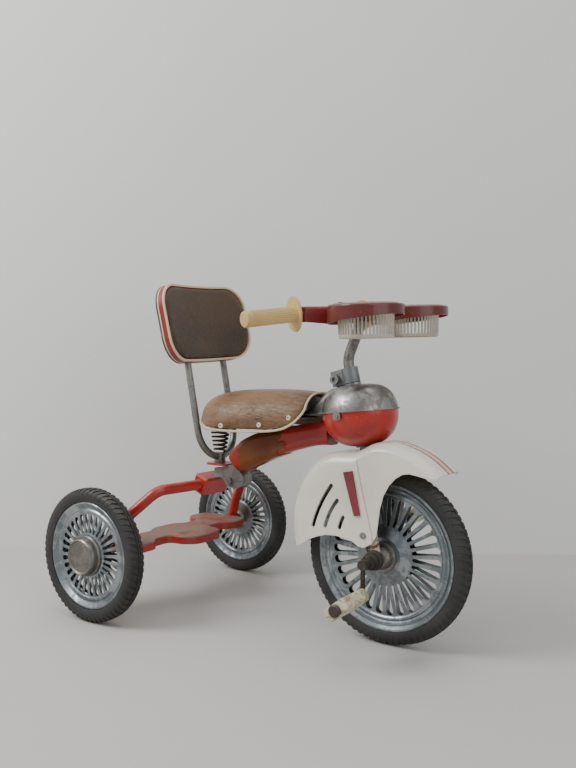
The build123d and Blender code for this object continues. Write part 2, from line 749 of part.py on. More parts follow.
# Turned clamp that holds the foot of the tube and carries the spring's small end.
with BuildPart() as tube_clamp:
    with BuildSketch(Plane.XY.offset(252.8)):
        with Locations((SPRING_X, 0)):
            Circle(10.2)
    extrude(amount=SPRING_BOTTOM - 253.9)
    with BuildSketch(Plane.XY.offset(SPRING_BOTTOM - 1.6)):
        with Locations((SPRING_X, 0)):
            Circle(12.6)
    extrude(amount=1.4)
    add(back_tube.part, mode=Mode.SUBTRACT)
finish(tube_clamp.part, "tube_clamp")

# ================================================================ backrest
BACK_CENTRE = lean_point(500.0, 10.5)
BACK_BOW = 420.0
BACK_CORNER = 44.0
LEAN = radians(BACK_LEAN)


def back_plane(offset_forward=0.0):
    """Plane of the backrest's front, seen from ahead: local x to the left, y up."""
    return Plane(
        origin=(BACK_CENTRE[0] + offset_forward * cos(LEAN), 0,
                BACK_CENTRE[2] + offset_forward * sin(LEAN)),
        x_dir=(0, 1, 0),
        z_dir=(cos(LEAN), 0, sin(LEAN)),
    )


def bowed_layer(front, back, grow):
    """Bowed slab between two depths behind the front face, trimmed to the outline."""
    rise_plane = Plane(
        origin=(BACK_CENTRE[0] + BACK_BOW * cos(LEAN), 0, BACK_CENTRE[2] + BACK_BOW * sin(LEAN)),
        x_dir=(cos(LEAN), 0, sin(LEAN)),
        z_dir=(-sin(LEAN), 0, cos(LEAN)),
    )
    with BuildPart() as layer:
        with BuildSketch(rise_plane.offset(-90)):
            Circle(BACK_BOW + back)
            Circle(BACK_BOW + front, mode=Mode.SUBTRACT)
            with Locations((-BACK_BOW, 0)):
                Rectangle(160, 300, mode=Mode.INTERSECT)
        extrude(amount=180)
        with BuildSketch(back_plane(-60)):
            RectangleRounded(BACK_WIDTH + grow, BACK_HEIGHT + grow, BACK_CORNER)
        extrude(amount=140, mode=Mode.INTERSECT)
    return layer.part


def rolled_back(part):
    """Turn a backrest piece in its own plane, left side up."""
    axis = Axis(BACK_CENTRE, (cos(LEAN), 0, sin(LEAN)))
    return part.rotate(axis, BACK_ROLL)


with BuildPart() as back_face:
    add(bowed_layer(0.0, 4.0, -7.0))
finish(rolled_back(back_face.part), "back_face")

with BuildPart() as back_piping:
    add(bowed_layer(1.0, 4.6, 0.0))
    with BuildSketch(back_plane(-60)):
        RectangleRounded(BACK_WIDTH - 6.8, BACK_HEIGHT - 6.8, BACK_CORNER - 3)
    extrude(amount=140, mode=Mode.SUBTRACT)
    add(bowed_layer(14.0, 17.0, 0.0))
    with BuildSketch(back_plane(-60)):
        RectangleRounded(BACK_WIDTH - 9.9, BACK_HEIGHT - 9.9, BACK_CORNER - 3)
    extrude(amount=70, mode=Mode.SUBTRACT)

def tube_sockets(part):
    """Cut the two holes that the back tube's legs pass through."""
    with BuildPart() as cut:
        add(part)
        for side in (-1, 1):
            start = lean_point(400, 0, side * TUBE_HALF)
            end = lean_point(538.3, 0, side * TUBE_HALF)
            with BuildSketch(along(start, end)):
                Circle(6.06)
            extrude(amount=distance_between(start, end), mode=Mode.SUBTRACT)
    return cut.part


finish(tube_sockets(rolled_back(back_piping.part)), "back_piping")

with BuildPart() as back_pad:
    add(bowed_layer(4.65, 13.95, 0.0))
    add(bowed_layer(4.05, 17.0, -10.0))
    add(back_piping.part, mode=Mode.SUBTRACT)
finish(tube_sockets(rolled_back(back_pad.part)), "back_pad")

with BuildPart() as back_shell:
    add(bowed_layer(17.05, 20.0, 1.0))
finish(tube_sockets(rolled_back(back_shell.part)), "back_shell")

screw_zone = bowed_layer(20.1, 22.4, 20.0)
with BuildPart() as back_screws:
    for side in (-1, 1):
        for height in (36.0, -36.0):
            with BuildSketch(back_plane(-45)):
                with Locations((side * 82.0, height)):
                    Circle(5.0)
            extrude(amount=60)
    add(screw_zone, mode=Mode.INTERSECT)
finish(rolled_back(back_screws.part), "back_screws")

# ================================================================ saddle
SADDLE_REAR = (-61.0, 0.0, 86.0)
SADDLE_FRONT = (57.0, 32.0, 30.0)


def saddle_plan(inset):
    """Plan outline of the saddle, moved inward by an amount."""
    with BuildSketch() as plan:
        for side in (-1, 1):
            with Locations((SADDLE_REAR[0], side * SADDLE_REAR[1])):
                Circle(SADDLE_REAR[2] - inset)
            with Locations((SADDLE_FRONT[0], side * SADDLE_FRONT[1])):
                Circle(SADDLE_FRONT[2] - inset)
        make_hull()
    return plan.sketch


RIVET_STATIONS = ((-55.0, 324.0), (10.0, 327.0), (62.0, 342.0))


def saddle_side(x):
    """Half-width of the saddle at one station along its straight flank."""
    if x < -43.0:
        return sqrt(SADDLE_REAR[2] ** 2 - (x - SADDLE_REAR[0]) ** 2)
    return 84.1 - 0.2145 * (x + 43.0)


with BuildPart() as saddle_cover:
    with BuildSketch(Plane.XY.offset(317.0)):
        add(saddle_plan(0))
    extrude(amount=69.0)
    fillet(saddle_cover.faces().sort_by(Axis.Z)[-1].edges(), radius=26.0)
    with BuildSketch(Plane.XZ):
        with BuildLine():
            Spline((-152, 334), (-143, 352), (-125, 366), (-98, 376), (-60, 382.5), (-16, 385.5),
                   (33, 386), (64, 382), (92, 372))
            Spline((92, 356), (80, 346), (66, 336), (38, 325), (-4, 317.5), (-42, 315.5),
                   (-80, 318.5), (-110, 325), (-152, 334))
            Line((92, 372), (92, 356))
        make_face()
    extrude(amount=120, both=True, mode=Mode.INTERSECT)
    with BuildSketch(Plane.XY.offset(315.0)):
        add(saddle_plan(5.0))
    extrude(amount=24.0, mode=Mode.SUBTRACT)
    with BuildSketch(Plane.XZ):
        with BuildLine():
            Polyline((34, 310), (34, 339), (60, 366), (74, 373.5), (96, 373.5), (96, 310),
                     close=True)
        make_face()
    extrude(amount=44, both=True, mode=Mode.SUBTRACT)
    with BuildSketch(Plane.XZ):
        with BuildLine():
            Polyline((2, 330), (2, 342), (34, 362.5), (60, 377), (66, 377), (66, 330), close=True)
        make_face()
    extrude(amount=11.6, both=True, mode=Mode.SUBTRACT)
    with BuildSketch(Plane.XY.offset(300)):
        with Locations((84, 0)):
            RectangleRounded(44.0, 50.0, 12.0)
    extrude(amount=120, mode=Mode.SUBTRACT)
    for side in (-1, 1):
        for x, z in RIVET_STATIONS:
            with BuildSketch(Plane(origin=(x, side * (saddle_side(x) - 8.0), z), x_dir=(1, 0, 0),
                                   z_dir=(0, side, 0))):
                Circle(4.4)
            extrude(amount=30, mode=Mode.SUBTRACT)
finish(saddle_cover.part, "saddle_cover")

HEM_LINE = ((92, 356), (80, 346), (66, 336), (38, 325), (-4, 317.5), (-42, 315.5),
            (-80, 318.5), (-110, 325), (-152, 334))
with BuildPart() as saddle_piping:
    with BuildSketch(Plane.XY.offset(308.0)):
        add(saddle_plan(-1.0))
        add(saddle_plan(4.0), mode=Mode.SUBTRACT)
    extrude(amount=60.0)
    with BuildSketch(Plane.XZ):
        with BuildLine():
            Spline(*HEM_LINE)
            Spline(*[(x, z - 3.4) for x, z in HEM_LINE])
            Line(HEM_LINE[0], (HEM_LINE[0][0], HEM_LINE[0][1] - 3.4))
            Line(HEM_LINE[-1], (HEM_LINE[-1][0], HEM_LINE[-1][1] - 3.4))
        make_face()
    extrude(amount=120, both=True, mode=Mode.INTERSECT)
    with BuildSketch(Plane.XY.offset(308.0)):
        with Locations((96.0, 0)):
            Rectangle(60.0, 90.0)
    extrude(amount=60.0, mode=Mode.SUBTRACT)
    add(saddle_cover.part, mode=Mode.SUBTRACT)
finish(saddle_piping.part, "saddle_piping")

with BuildPart() as saddle_rivets:
    for side in (-1, 1):
        for x, z in RIVET_STATIONS:
            with BuildSketch(Plane(origin=(x, side * (saddle_side(x) - 6.2), z), x_dir=(1, 0, 0),
                                   z_dir=(0, side, 0))):
                Circle(4.3)
            extrude(amount=7.4)
finish(saddle_rivets.part, "saddle_rivets")

with BuildPart() as saddle_pan:
    with BuildSketch(Plane.XY.offset(336.4)):
        add(saddle_plan(5.6))
    extrude(amount=2.4)
    with BuildSketch(Plane.XY.offset(330)):
        with Locations((70, 0)):
            Rectangle(60, 200)
        with Locations((41, 0)):
            Rectangle(40, 21.4)
    extrude(amount=20, mode=Mode.SUBTRACT)
    with BuildSketch(Plane.XY.offset(SPRING_TOP + 0.2)):
        with Locations((SPRING_X, 0)):
            Circle(19.0)
    extrude(amount=2.2)
    with BuildSketch(Plane.XY.offset(SPRING_TOP + 2.0)):
        with Locations((SPRING_X, 0)):
            Circle(11.0)
    extrude(amount=23.0)
finish(saddle_pan.part, "saddle_pan")

# Hinge at the saddle's nose: fixed ears, one pin, and the pan's arm.
HINGE_X = 76.0
HINGE_Z = 370.5
with BuildPart() as hinge_ears:
    for side in (-1, 1):
        with BuildSketch(Plane.XZ.offset(-side * 11.2)):
            with BuildLine():
                Polyline((66, 345), (94, 345), (85, 371), (80, 377), (72, 377), (68, 371),
                         close=True)
            make_face()
            with Locations((HINGE_X, HINGE_Z)):
                Circle(3.05, mode=Mode.SUBTRACT)
        extrude(amount=-side * 2.4)
    add(bowl_cover.part, mode=Mode.SUBTRACT)
    add(cover_outer, mode=Mode.SUBTRACT)
    add(cover_wedge.part, mode=Mode.SUBTRACT)

with BuildPart() as hinge_pin:
    with BuildSketch(Plane.XZ):
        with Locations((HINGE_X, HINGE_Z)):
            Circle(3.0)
    extrude(amount=15.4, both=True)
    for side in (-1, 1):
        with BuildSketch(Plane.XZ.offset(-side * 13.8)):
            with Locations((HINGE_X, HINGE_Z)):
                Circle(5.2)
        extrude(amount=-side * 2.2)
finish(Compound(children=[hinge_ears.part, hinge_pin.part]), "hinge_ears")

with BuildPart() as hinge_arm:
    with BuildSketch(Plane.XZ):
        with BuildLine():
            Polyline((4, 333.3), (24, 333.3), (40, 346), (52, 354.5), (68, 363.2), (76, 365),
                     (76, 376), (66, 369.5), (50, 359.5), (38, 350.5), (22, 336.3), (4, 336.3),
                     close=True)
        make_face()
        with Locations((HINGE_X, HINGE_Z)):
            Circle(6.2)
            Circle(3.06, mode=Mode.SUBTRACT)
    extrude(amount=10.6, both=True)
finish(hinge_arm.part, "hinge_arm")

# Conical seat spring, seven turns.
with BuildPart() as seat_spring:
    with BuildLine() as coil:
        Helix(pitch=7.4, height=38.2, radius=9.4, cone_angle=9.7,
              center=(SPRING_X, 0, SPRING_BOTTOM + 2.3), direction=(0, 0, 1))
    with BuildSketch(Plane(origin=coil.edge() @ 0, z_dir=coil.edge() % 0)):
        Circle(1.9)
    sweep(path=coil.edge(), is_frenet=True)
finish(seat_spring.part, "seat_spring")

# ================================================================ handlebar
STEM_FOOT = steer_point(284.2)
STEM_BEND = (132.4, 0.0, 437.0)
STEM_TOP = (160.0, 0.0, 506.0)
STEM_RADIUS = 8.6

with BuildPart() as stem_tube:
    with BuildLine() as stem_line:
        FilletPolyline(STEM_FOOT, STEM_BEND, STEM_TOP, radius=40)
    with BuildSketch(steer_plane(284.2)):
        Circle(STEM_RADIUS)
    sweep(path=stem_line.wire())
finish(stem_tube.part, "stem_tube")

with BuildPart() as stem_collar:
    with BuildSketch(steer_plane(271.4)):
        Circle(13.4)
        with Locations((-20.0, 0)):
            RectangleRounded(24.0, 19.0, 3.0)
        with Locations((-24.0, 0)):
            Rectangle(32.0, 2.4, mode=Mode.SUBTRACT)
        Circle(8.65, mode=Mode.SUBTRACT)
    extrude(amount=24.5)
    with BuildSketch(Plane(origin=steer_point(282.0, -22.0, -40.0), x_dir=(1, 0, 0),
                           z_dir=(0, 1, 0))):
        Circle(3.55)
    extrude(amount=80.0, mode=Mode.SUBTRACT)
finish(stem_collar.part, "stem_collar")

with BuildPart() as collar_bolt:
    bolt_x, _, bolt_z = steer_point(282.0, -22.0)
    with BuildSketch(Plane.XZ):
        with Locations((bolt_x, bolt_z)):
            Circle(3.5)
    extrude(amount=13.0, both=True)
    with BuildSketch(Plane.XZ.offset(9.6)):
        with Locations((bolt_x, bolt_z)):
            Circle(7.6)
    extrude(amount=8.0)
    with BuildSketch(Plane.XZ.offset(14.0)):
        with Locations((bolt_x, bolt_z)):
            RegularPolygon(4.0, 6)
    extrude(amount=8.0, mode=Mode.SUBTRACT)
    with BuildSketch(Plane.XZ.offset(-9.6)):
        with Locations((bolt_x, bolt_z)):
            RegularPolygon(7.2, 6)
    extrude(amount=-6.0)
finish(collar_bolt.part, "collar_bolt")

with BuildSketch() as bar_plan:
    with BuildLine():
        Polyline((92, -99), (112, -95), (150, -52), (150, 52), (112, 95), (92, 99), (100, 78),
                 (122, 30), (124, 0), (122, -30), (100, -78), close=True)
    make_face()
    with BuildLine():
        Polyline((124, -58), (178, -34), (178, 34), (124, 58), close=True)
    make_face()
    for side in (-1, 1):
        with Locations((RING_X, side * RING_Y)):
            Circle(RING_RADIUS)
    offset(amount=7.0, mode=Mode.REPLACE)
    offset(amount=-11.0, mode=Mode.REPLACE)
    offset(amount=4.0, mode=Mode.REPLACE)
with BuildPart() as handlebar:
    with BuildSketch(Plane.XY.offset(BAR_TOP)):
        add(bar_plan.sketch)
    extrude(amount=-30)
    fillet(handlebar.faces().sort_by(Axis.Z)[-1].edges(), radius=3.4)
    with BuildSketch(Plane.XY.offset(BAR_TOP - SHEET)):
        offset(bar_plan.sketch, amount=-SHEET)
    extrude(amount=-60, mode=Mode.SUBTRACT)
    with BuildSketch(Plane.XZ):
        with BuildLine():
            Polyline((40, 497), (112, 496.5), (150, 491), (280, 507), (280, 470), (40, 470),
                     close=True)
        make_face()
    extrude(amount=160, both=True, mode=Mode.SUBTRACT)
    for side in (-1, 1):
        with BuildSketch(Plane.XY.offset(BAR_TOP + 1)):
            with Locations((RING_X, side * RING_Y)):
                Circle(BASKET_RADIUS + 1.0)
        extrude(amount=-6, mode=Mode.SUBTRACT)
        near = (GRIP_NEAR[0], side * GRIP_NEAR[1], GRIP_NEAR[2])
        far = (GRIP_FAR[0], side * GRIP_FAR[1], GRIP_FAR[2])
        rod_plane = along(near, far)
        with BuildSketch(rod_plane.offset(-16)):
            Circle(7.0)
        extrude(amount=distance_between(near, far) + 10.0)
    with BuildSketch(Plane.XY.offset(BAR_TOP - SHEET)):
        with Locations((STEM_TOP[0] - 1.0, 0)):
            Circle(15.0)
    extrude(amount=-22)


def rolled_bar(part):
    """Turn a handlebar piece about the forward axis, left side up."""
    return part.rotate(Axis((0, 0, BAR_TOP), (1, 0, 0)), BAR_ROLL)


with BuildPart() as bar_fitted:
    add(rolled_bar(handlebar.part))
    with BuildLine() as bore_line:
        FilletPolyline(STEM_FOOT, STEM_BEND, STEM_TOP, radius=40)
    with BuildSketch(steer_plane(284.2)):
        Circle(STEM_RADIUS + 0.05)
    sweep(path=bore_line.wire(), mode=Mode.SUBTRACT)
finish(bar_fitted.part, "handlebar")


def make_grip(name, side):
    """Ribbed sleeve with a dished hand guard at its inner end."""
    near = (GRIP_NEAR[0], side * GRIP_NEAR[1], GRIP_NEAR[2])
    far = (GRIP_FAR[0], side * GRIP_FAR[1], GRIP_FAR[2])
    plane = along(near, far)
    length = distance_between(near, far)
    with BuildPart() as grip:
        with BuildSketch(plane.offset(6.5)):
            Circle(GRIP_RADIUS)
        extrude(amount=length - 6.5)
        fillet(grip.edges().sort_by(lambda edge: abs(edge.center().Y))[-1], radius=2.5)
        with BuildSketch(plane.offset(12.0)):
            with PolarLocations(GRIP_RADIUS + 0.3, 22):
                Circle(1.1)
        extrude(amount=length - 22.0, mode=Mode.SUBTRACT)
        with BuildSketch(plane.offset(4.0)):
            Ellipse(18.0, 27.0)
        extrude(amount=3.0)
        with BuildSketch(plane.offset(1.0)):
            Circle(7.06)
        extrude(amount=length - 5.8, mode=Mode.SUBTRACT)
    finish(rolled_bar(grip.part), name)


make_grip("grip_right", -1)
make_grip("grip_left", 1)


def make_basket(name, side):
    """Slotted cup that hangs by its lip in one handlebar ring."""
    centre = (RING_X, side * RING_Y)
    with BuildPart() as basket:
        with BuildSketch(Plane(origin=(centre[0], centre[1], 0), x_dir=(1, 0, 0),
                               z_dir=(0, -1, 0))):
            with BuildLine():
                Polyline((0, BASKET_BOTTOM), (38.5, BASKET_BOTTOM), (40.2, BASKET_BOTTOM + 2.0),
                         (BASKET_RADIUS, BAR_TOP - 4), (BASKET_RADIUS + 0.6, BAR_TOP + 0.1),
                         (46.5, BAR_TOP + 0.1), (46.5, BAR_TOP + 1.7), (40.4, BAR_TOP + 1.7),
                         (39.8, BAR_TOP - 4), (38.4, BASKET_BOTTOM + 1.9),
                         (0, BASKET_BOTTOM + 1.9), close=True)
            make_face()
        revolve(axis=Axis((centre[0], centre[1], 0), (0, 0, 1)))
        with BuildSketch(Plane.XY.offset(BASKET_BOTTOM + 6.5)):
            with Locations((centre[0], centre[1])):
                with PolarLocations(40.0, BASKET_SLOTS):
                    Rectangle(8.0, 2.9)
        extrude(amount=36.0, mode=Mode.SUBTRACT)
        with BuildSketch(Plane.XY.offset(BASKET_BOTTOM - 1)):
            with Locations((centre[0], centre[1])):
                with GridLocations(9.0, 1.0, 7, 1):
                    SlotOverall(44.0, 4.0, rotation=90)
        extrude(amount=6.0, mode=Mode.SUBTRACT)
    finish(rolled_bar(basket.part), name)


make_basket("basket_right", -1)
make_basket("basket_left", 1)

# Small folded clips on top of the bar beside each ring.
with BuildPart() as bar_clips:
    for side in (-1, 1):
        with BuildSketch(Plane.XZ.offset(-side * 50.0)):
            with BuildLine():
                Polyline((134, BAR_TOP + 0.05), (146, BAR_TOP + 0.05), (152, BAR_TOP + 4.6),
                         (151, BAR_TOP + 6.0), (145, BAR_TOP + 1.7), (134, BAR_TOP + 1.7),
                         close=True)
            make_face()
        extrude(amount=-side * 11.0)
finish(rolled_bar(bar_clips.part), "bar_clips")
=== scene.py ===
"""Vintage children's tricycle: finishes, soft seat, treaded tyres and studio set.

Metres, +X forward, +Y to the rider's left, +Z up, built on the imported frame.
"""
import logging
import math
from dataclasses import dataclass
from enum import Enum
import bmesh
import bpy
from mathutils import Matrix
from mathutils import Vector
from mathutils import noise
from mathutils.bvhtree import BVHTree


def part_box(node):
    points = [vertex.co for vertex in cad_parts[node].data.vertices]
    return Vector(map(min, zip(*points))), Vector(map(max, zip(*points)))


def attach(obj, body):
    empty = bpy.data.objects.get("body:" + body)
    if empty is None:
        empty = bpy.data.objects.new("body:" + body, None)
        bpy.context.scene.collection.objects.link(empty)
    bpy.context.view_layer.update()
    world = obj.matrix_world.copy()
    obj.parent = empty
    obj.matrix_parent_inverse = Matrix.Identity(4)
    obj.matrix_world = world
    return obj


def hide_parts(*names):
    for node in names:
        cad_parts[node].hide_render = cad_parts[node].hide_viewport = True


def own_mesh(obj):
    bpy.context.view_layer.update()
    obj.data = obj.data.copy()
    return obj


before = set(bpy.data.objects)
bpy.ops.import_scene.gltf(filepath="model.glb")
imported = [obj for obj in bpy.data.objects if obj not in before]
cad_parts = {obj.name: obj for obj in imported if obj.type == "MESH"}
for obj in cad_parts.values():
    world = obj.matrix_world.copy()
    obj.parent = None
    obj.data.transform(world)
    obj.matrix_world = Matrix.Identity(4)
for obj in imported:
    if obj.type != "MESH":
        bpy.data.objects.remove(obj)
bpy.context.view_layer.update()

log = logging.getLogger("tricycle")
Colour = tuple[float, float, float]


def paint(red: int, green: int, blue: int) -> Colour:
    """Linear colour of a paint-chart value.

    Args:
        red: Red, 0 to 255.
        green: Green, 0 to 255.
        blue: Blue, 0 to 255.

    Returns:
        The same colour as linear light, 0 to 1.
    """
    def linear(level: int) -> float:
        """Linear light of one channel."""
        share = level / 255
        return share / 12.92 if share <= 0.04045 else ((share + 0.055) / 1.055) ** 2.4

    return linear(red), linear(green), linear(blue)


# ------------------------------------------------------------------ node bench
class NodeBench:
    """Adds and wires shader nodes in one node tree."""

    def __init__(self, tree: bpy.types.NodeTree) -> None:
        """Starts a bench on a tree.

        Args:
            tree: The node tree that gets the nodes.
        """
        self.tree = tree

    def add(self, kind: str, **settings: object) -> bpy.types.Node:
        """New node of a kind.

        Args:
            kind: Blender's name of the node type.
            **settings: Properties to set on it.

        Returns:
            The node.
        """
        node = self.tree.nodes.new(kind)
        for name, value in settings.items():
            setattr(node, name, value)
        return node

    def feed(self, socket: bpy.types.NodeSocket, value: object) -> None:
        """Links a socket to an input, or sets its value.

        Args:
            socket: The input that is fed.
            value: An output socket, a number, a vector or a colour.
        """
        if isinstance(value, bpy.types.NodeSocket):
            self.tree.links.new(value, socket)
        elif isinstance(value, tuple) and len(value) == 3 and socket.type == "RGBA":
            socket.default_value = (*value, 1.0)
        else:
            socket.default_value = value

    def math(self, operation: str, *values: object, clamp: bool = False) -> bpy.types.NodeSocket:
        """Result of one math node.

        Args:
            operation: Blender's name of the operation.
            *values: Its numbers or sockets, in order.
            clamp: Whether the result stays between 0 and 1.

        Returns:
            The node's output.
        """
        node = self.add("ShaderNodeMath", operation=operation, use_clamp=clamp)
        for socket, value in zip(node.inputs, values):
            self.feed(socket, value)
        return node.outputs[0]

    def mix(self, share: object, under: object, over: object,
            blend: str = "MIX") -> bpy.types.NodeSocket:
        """Mix of two colours.

        Args:
            share: How much of the second colour shows, 0 to 1.
            under: The first colour.
            over: The second colour.
            blend: Blender's name of the blend type.

        Returns:
            The mixed colour.
        """
        node = self.add("ShaderNodeMix", data_type="RGBA", blend_type=blend)
        self.feed(node.inputs[0], share)
        self.feed(node.inputs[6], under)
        self.feed(node.inputs[7], over)
        return node.outputs[2]

    def spread(self, value: object, low: object, high: object, start: float = 0.0,
               end: float = 1.0) -> bpy.types.NodeSocket:
        """Smooth step of a value between two levels.

        Args:
            value: The value that is read.
            low: Level at which the result starts.
            high: Level at which it ends.
            start: Result at the low level.
            end: Result at the high level.

        Returns:
            The stepped value.
        """
        node = self.add("ShaderNodeMapRange", interpolation_type="SMOOTHSTEP")
        for socket, item in zip(node.inputs, (value, low, high, start, end)):
            self.feed(socket, item)
        return node.outputs[0]

    def cloud(self, place: object, scale: object, detail: float = 4.0,
              rough: float = 0.55, twist: float = 0.0) -> bpy.types.NodeSocket:
        """Noise value at a place.

        Args:
            place: Coordinates.
            scale: Features per metre.
            detail: Octaves.
            rough: Weight of the fine octaves.
            twist: Distortion.

        Returns:
            The noise, 0 to 1.
        """
        node = self.add("ShaderNodeTexNoise")
        self.feed(node.inputs["Vector"], place)
        self.feed(node.inputs["Scale"], scale)
        self.feed(node.inputs["Detail"], detail)
        self.feed(node.inputs["Roughness"], rough)
        self.feed(node.inputs["Distortion"], twist)
        return node.outputs["Fac"]

    def place(self, stretch: tuple[float, float, float] = (1, 1, 1),
              turn: tuple[float, float, float] = (0, 0, 0)) -> bpy.types.NodeSocket:
        """Coordinates on the object, stretched and turned.

        Args:
            stretch: Scale along X, Y and Z.
            turn: Turn about X, Y and Z, in degrees.

        Returns:
            The coordinates.
        """
        where = self.add("ShaderNodeTexCoord").outputs["Object"]
        node = self.add("ShaderNodeMapping")
        self.feed(node.inputs["Vector"], where)
        self.feed(node.inputs["Rotation"], tuple(math.radians(angle) for angle in turn))
        self.feed(node.inputs["Scale"], stretch)
        return node.outputs["Vector"]

    def axis(self, vector: object, index: int) -> bpy.types.NodeSocket:
        """One coordinate of a vector.

        Args:
            vector: The vector.
            index: 0, 1 or 2 for X, Y or Z.

        Returns:
            The coordinate.
        """
        node = self.add("ShaderNodeSeparateXYZ")
        self.feed(node.inputs[0], vector)
        return node.outputs[index]

    def group(self, tree: bpy.types.NodeTree, **values: object) -> bpy.types.Node:
        """Places a node group with its own values.

        Args:
            tree: The group's tree.
            **values: Inputs by name, with _ for a space.

        Returns:
            The group node.
        """
        node = self.add("ShaderNodeGroup", node_tree=tree)
        for name, value in values.items():
            self.feed(node.inputs[name.replace("_", " ")], value)
        return node


class Workshop:
    """Shared effects, each one a node group that is built once."""

    made: dict[str, bpy.types.NodeTree] = {}
    mixed: dict[str, bpy.types.Material] = {}

    @classmethod
    def start(cls, name: str, inputs: dict[str, float],
              outputs: tuple[str, ...]) -> tuple[NodeBench, object, object] | None:
        """Starts a group, unless it exists.

        Args:
            name: The group's name.
            inputs: Names and default values of its number inputs.
            outputs: Names of its number outputs.

        Returns:
            The bench, the group's inputs and its outputs, or None if it was made before.
        """
        if name in cls.made:
            return None
        tree = bpy.data.node_groups.new(name, "ShaderNodeTree")
        for label, value in inputs.items():
            socket = tree.interface.new_socket(label, in_out="INPUT", socket_type="NodeSocketFloat")
            socket.default_value = value
        for label in outputs:
            tree.interface.new_socket(label, in_out="OUTPUT", socket_type="NodeSocketFloat")
        cls.made[name] = tree
        bench = NodeBench(tree)
        return bench, bench.add("NodeGroupInput").outputs, bench.add("NodeGroupOutput").inputs

    @classmethod
    def patches(cls) -> bpy.types.NodeTree:
        """Worn patches, a slow tone and a fine grain.

        Returns:
            The group, with Patch, Tone and Grain outputs.
        """
        parts = cls.start("worn_patches", {"Scale": 20.0, "Amount": 0.3, "Seed": 0.0},
                          ("Patch", "Tone", "Grain"))
        if parts:
            bench, given, result = parts
            shift = bench.add("ShaderNodeVectorMath", operation="ADD")
            bench.feed(shift.inputs[0], bench.place())
            bench.feed(shift.inputs[1], given["Seed"])
            where = shift.outputs[0]
            broad = bench.cloud(where, given["Scale"], 8.0, 0.72, 0.6)
            level = bench.math("SUBTRACT", 0.78, bench.math("MULTIPLY", given["Amount"], 0.5))
            bench.feed(result["Patch"],
                       bench.spread(broad, level, bench.math("ADD", level, 0.05)))
            slow = bench.math("MULTIPLY", given["Scale"], 0.35)
            bench.feed(result["Tone"], bench.spread(bench.cloud(where, slow, 3.0), 0.3, 0.7))
            bench.feed(result["Grain"], bench.cloud(where, 900.0, 3.0, 0.6))
        return cls.made["worn_patches"]

    @classmethod
    def edges(cls) -> bpy.types.NodeTree:
        """Wear along sharp edges.

        Returns:
            The group, with one Edge output.
        """
        parts = cls.start("edge_wear", {"Radius": 0.0015, "Amount": 0.5}, ("Edge",))
        if parts:
            bench, given, result = parts
            rounded = bench.add("ShaderNodeBevel", samples=4)
            bench.feed(rounded.inputs["Radius"], given["Radius"])
            facing = bench.add("ShaderNodeNewGeometry").outputs["Normal"]
            dot = bench.add("ShaderNodeVectorMath", operation="DOT_PRODUCT")
            bench.feed(dot.inputs[0], rounded.outputs[0])
            bench.feed(dot.inputs[1], facing)
            turn = bench.math("SUBTRACT", 1.0, dot.outputs["Value"])
            rough = bench.cloud(bench.place(), 160.0, 5.0, 0.7)
            sharp = bench.math("MULTIPLY", bench.spread(turn, 0.015, 0.14),
                               bench.spread(rough, 0.35, 0.6))
            bench.feed(result["Edge"], bench.math("MULTIPLY", sharp, given["Amount"]))
        return cls.made["edge_wear"]

    @classmethod
    def scratches(cls) -> bpy.types.NodeTree:
        """Thin scratches in two directions.

        Returns:
            The group, with one Line output.
        """
        parts = cls.start("fine_scratches", {"Density": 0.5}, ("Line",))
        if parts:
            bench, given, result = parts
            lines = None
            for stretch, turn in (((18, 420, 420), (0, 24, 9)), ((380, 30, 380), (31, 0, -15))):
                streak = bench.cloud(bench.place(stretch, turn), 1.0, 2.0, 0.5, 0.3)
                level = bench.math("SUBTRACT", 0.76, bench.math("MULTIPLY", given["Density"], 0.12))
                line = bench.spread(streak, level, bench.math("ADD", level, 0.03))
                lines = line if lines is None else bench.math("MAXIMUM", lines, line)
            bench.feed(result["Line"], lines)
        return cls.made["fine_scratches"]

    @classmethod
    def dust(cls) -> bpy.types.NodeTree:
        """Dust on upward faces and in broken drifts.

        Returns:
            The group, with one Dust output.
        """
        parts = cls.start("settled_dust", {"Amount": 0.4, "Scale": 30.0}, ("Dust",))
        if parts:
            bench, given, result = parts
            up = bench.axis(bench.add("ShaderNodeNewGeometry").outputs["Normal"], 2)
            drift = bench.cloud(bench.place(), given["Scale"], 6.0, 0.65, 0.4)
            both = bench.math("MULTIPLY", bench.spread(up, 0.2, 0.95),
                              bench.spread(drift, 0.32, 0.68))
            bench.feed(result["Dust"], bench.math("MULTIPLY", both, given["Amount"]))
        return cls.made["settled_dust"]

    @classmethod
    def rust(cls) -> bpy.types.NodeTree:
        """Rust spots with a soft bloom around them.

        Returns:
            The group, with Spot and Bloom outputs.
        """
        parts = cls.start("rust_spots", {"Scale": 90.0, "Amount": 0.4}, ("Spot", "Bloom"))
        if parts:
            bench, given, result = parts
            fine = bench.cloud(bench.place(), given["Scale"], 9.0, 0.75, 0.9)
            broad = bench.cloud(bench.place(), bench.math("MULTIPLY", given["Scale"], 0.18), 4.0)
            mixed = bench.math("ADD", bench.math("MULTIPLY", fine, 0.62),
                               bench.math("MULTIPLY", broad, 0.38))
            level = bench.math("SUBTRACT", 0.68, bench.math("MULTIPLY", given["Amount"], 0.3))
            bench.feed(result["Spot"],
                       bench.spread(mixed, level, bench.math("ADD", level, 0.035)))
            bench.feed(result["Bloom"], bench.spread(
                mixed, bench.math("SUBTRACT", level, 0.10), bench.math("ADD", level, 0.03)))
        return cls.made["rust_spots"]

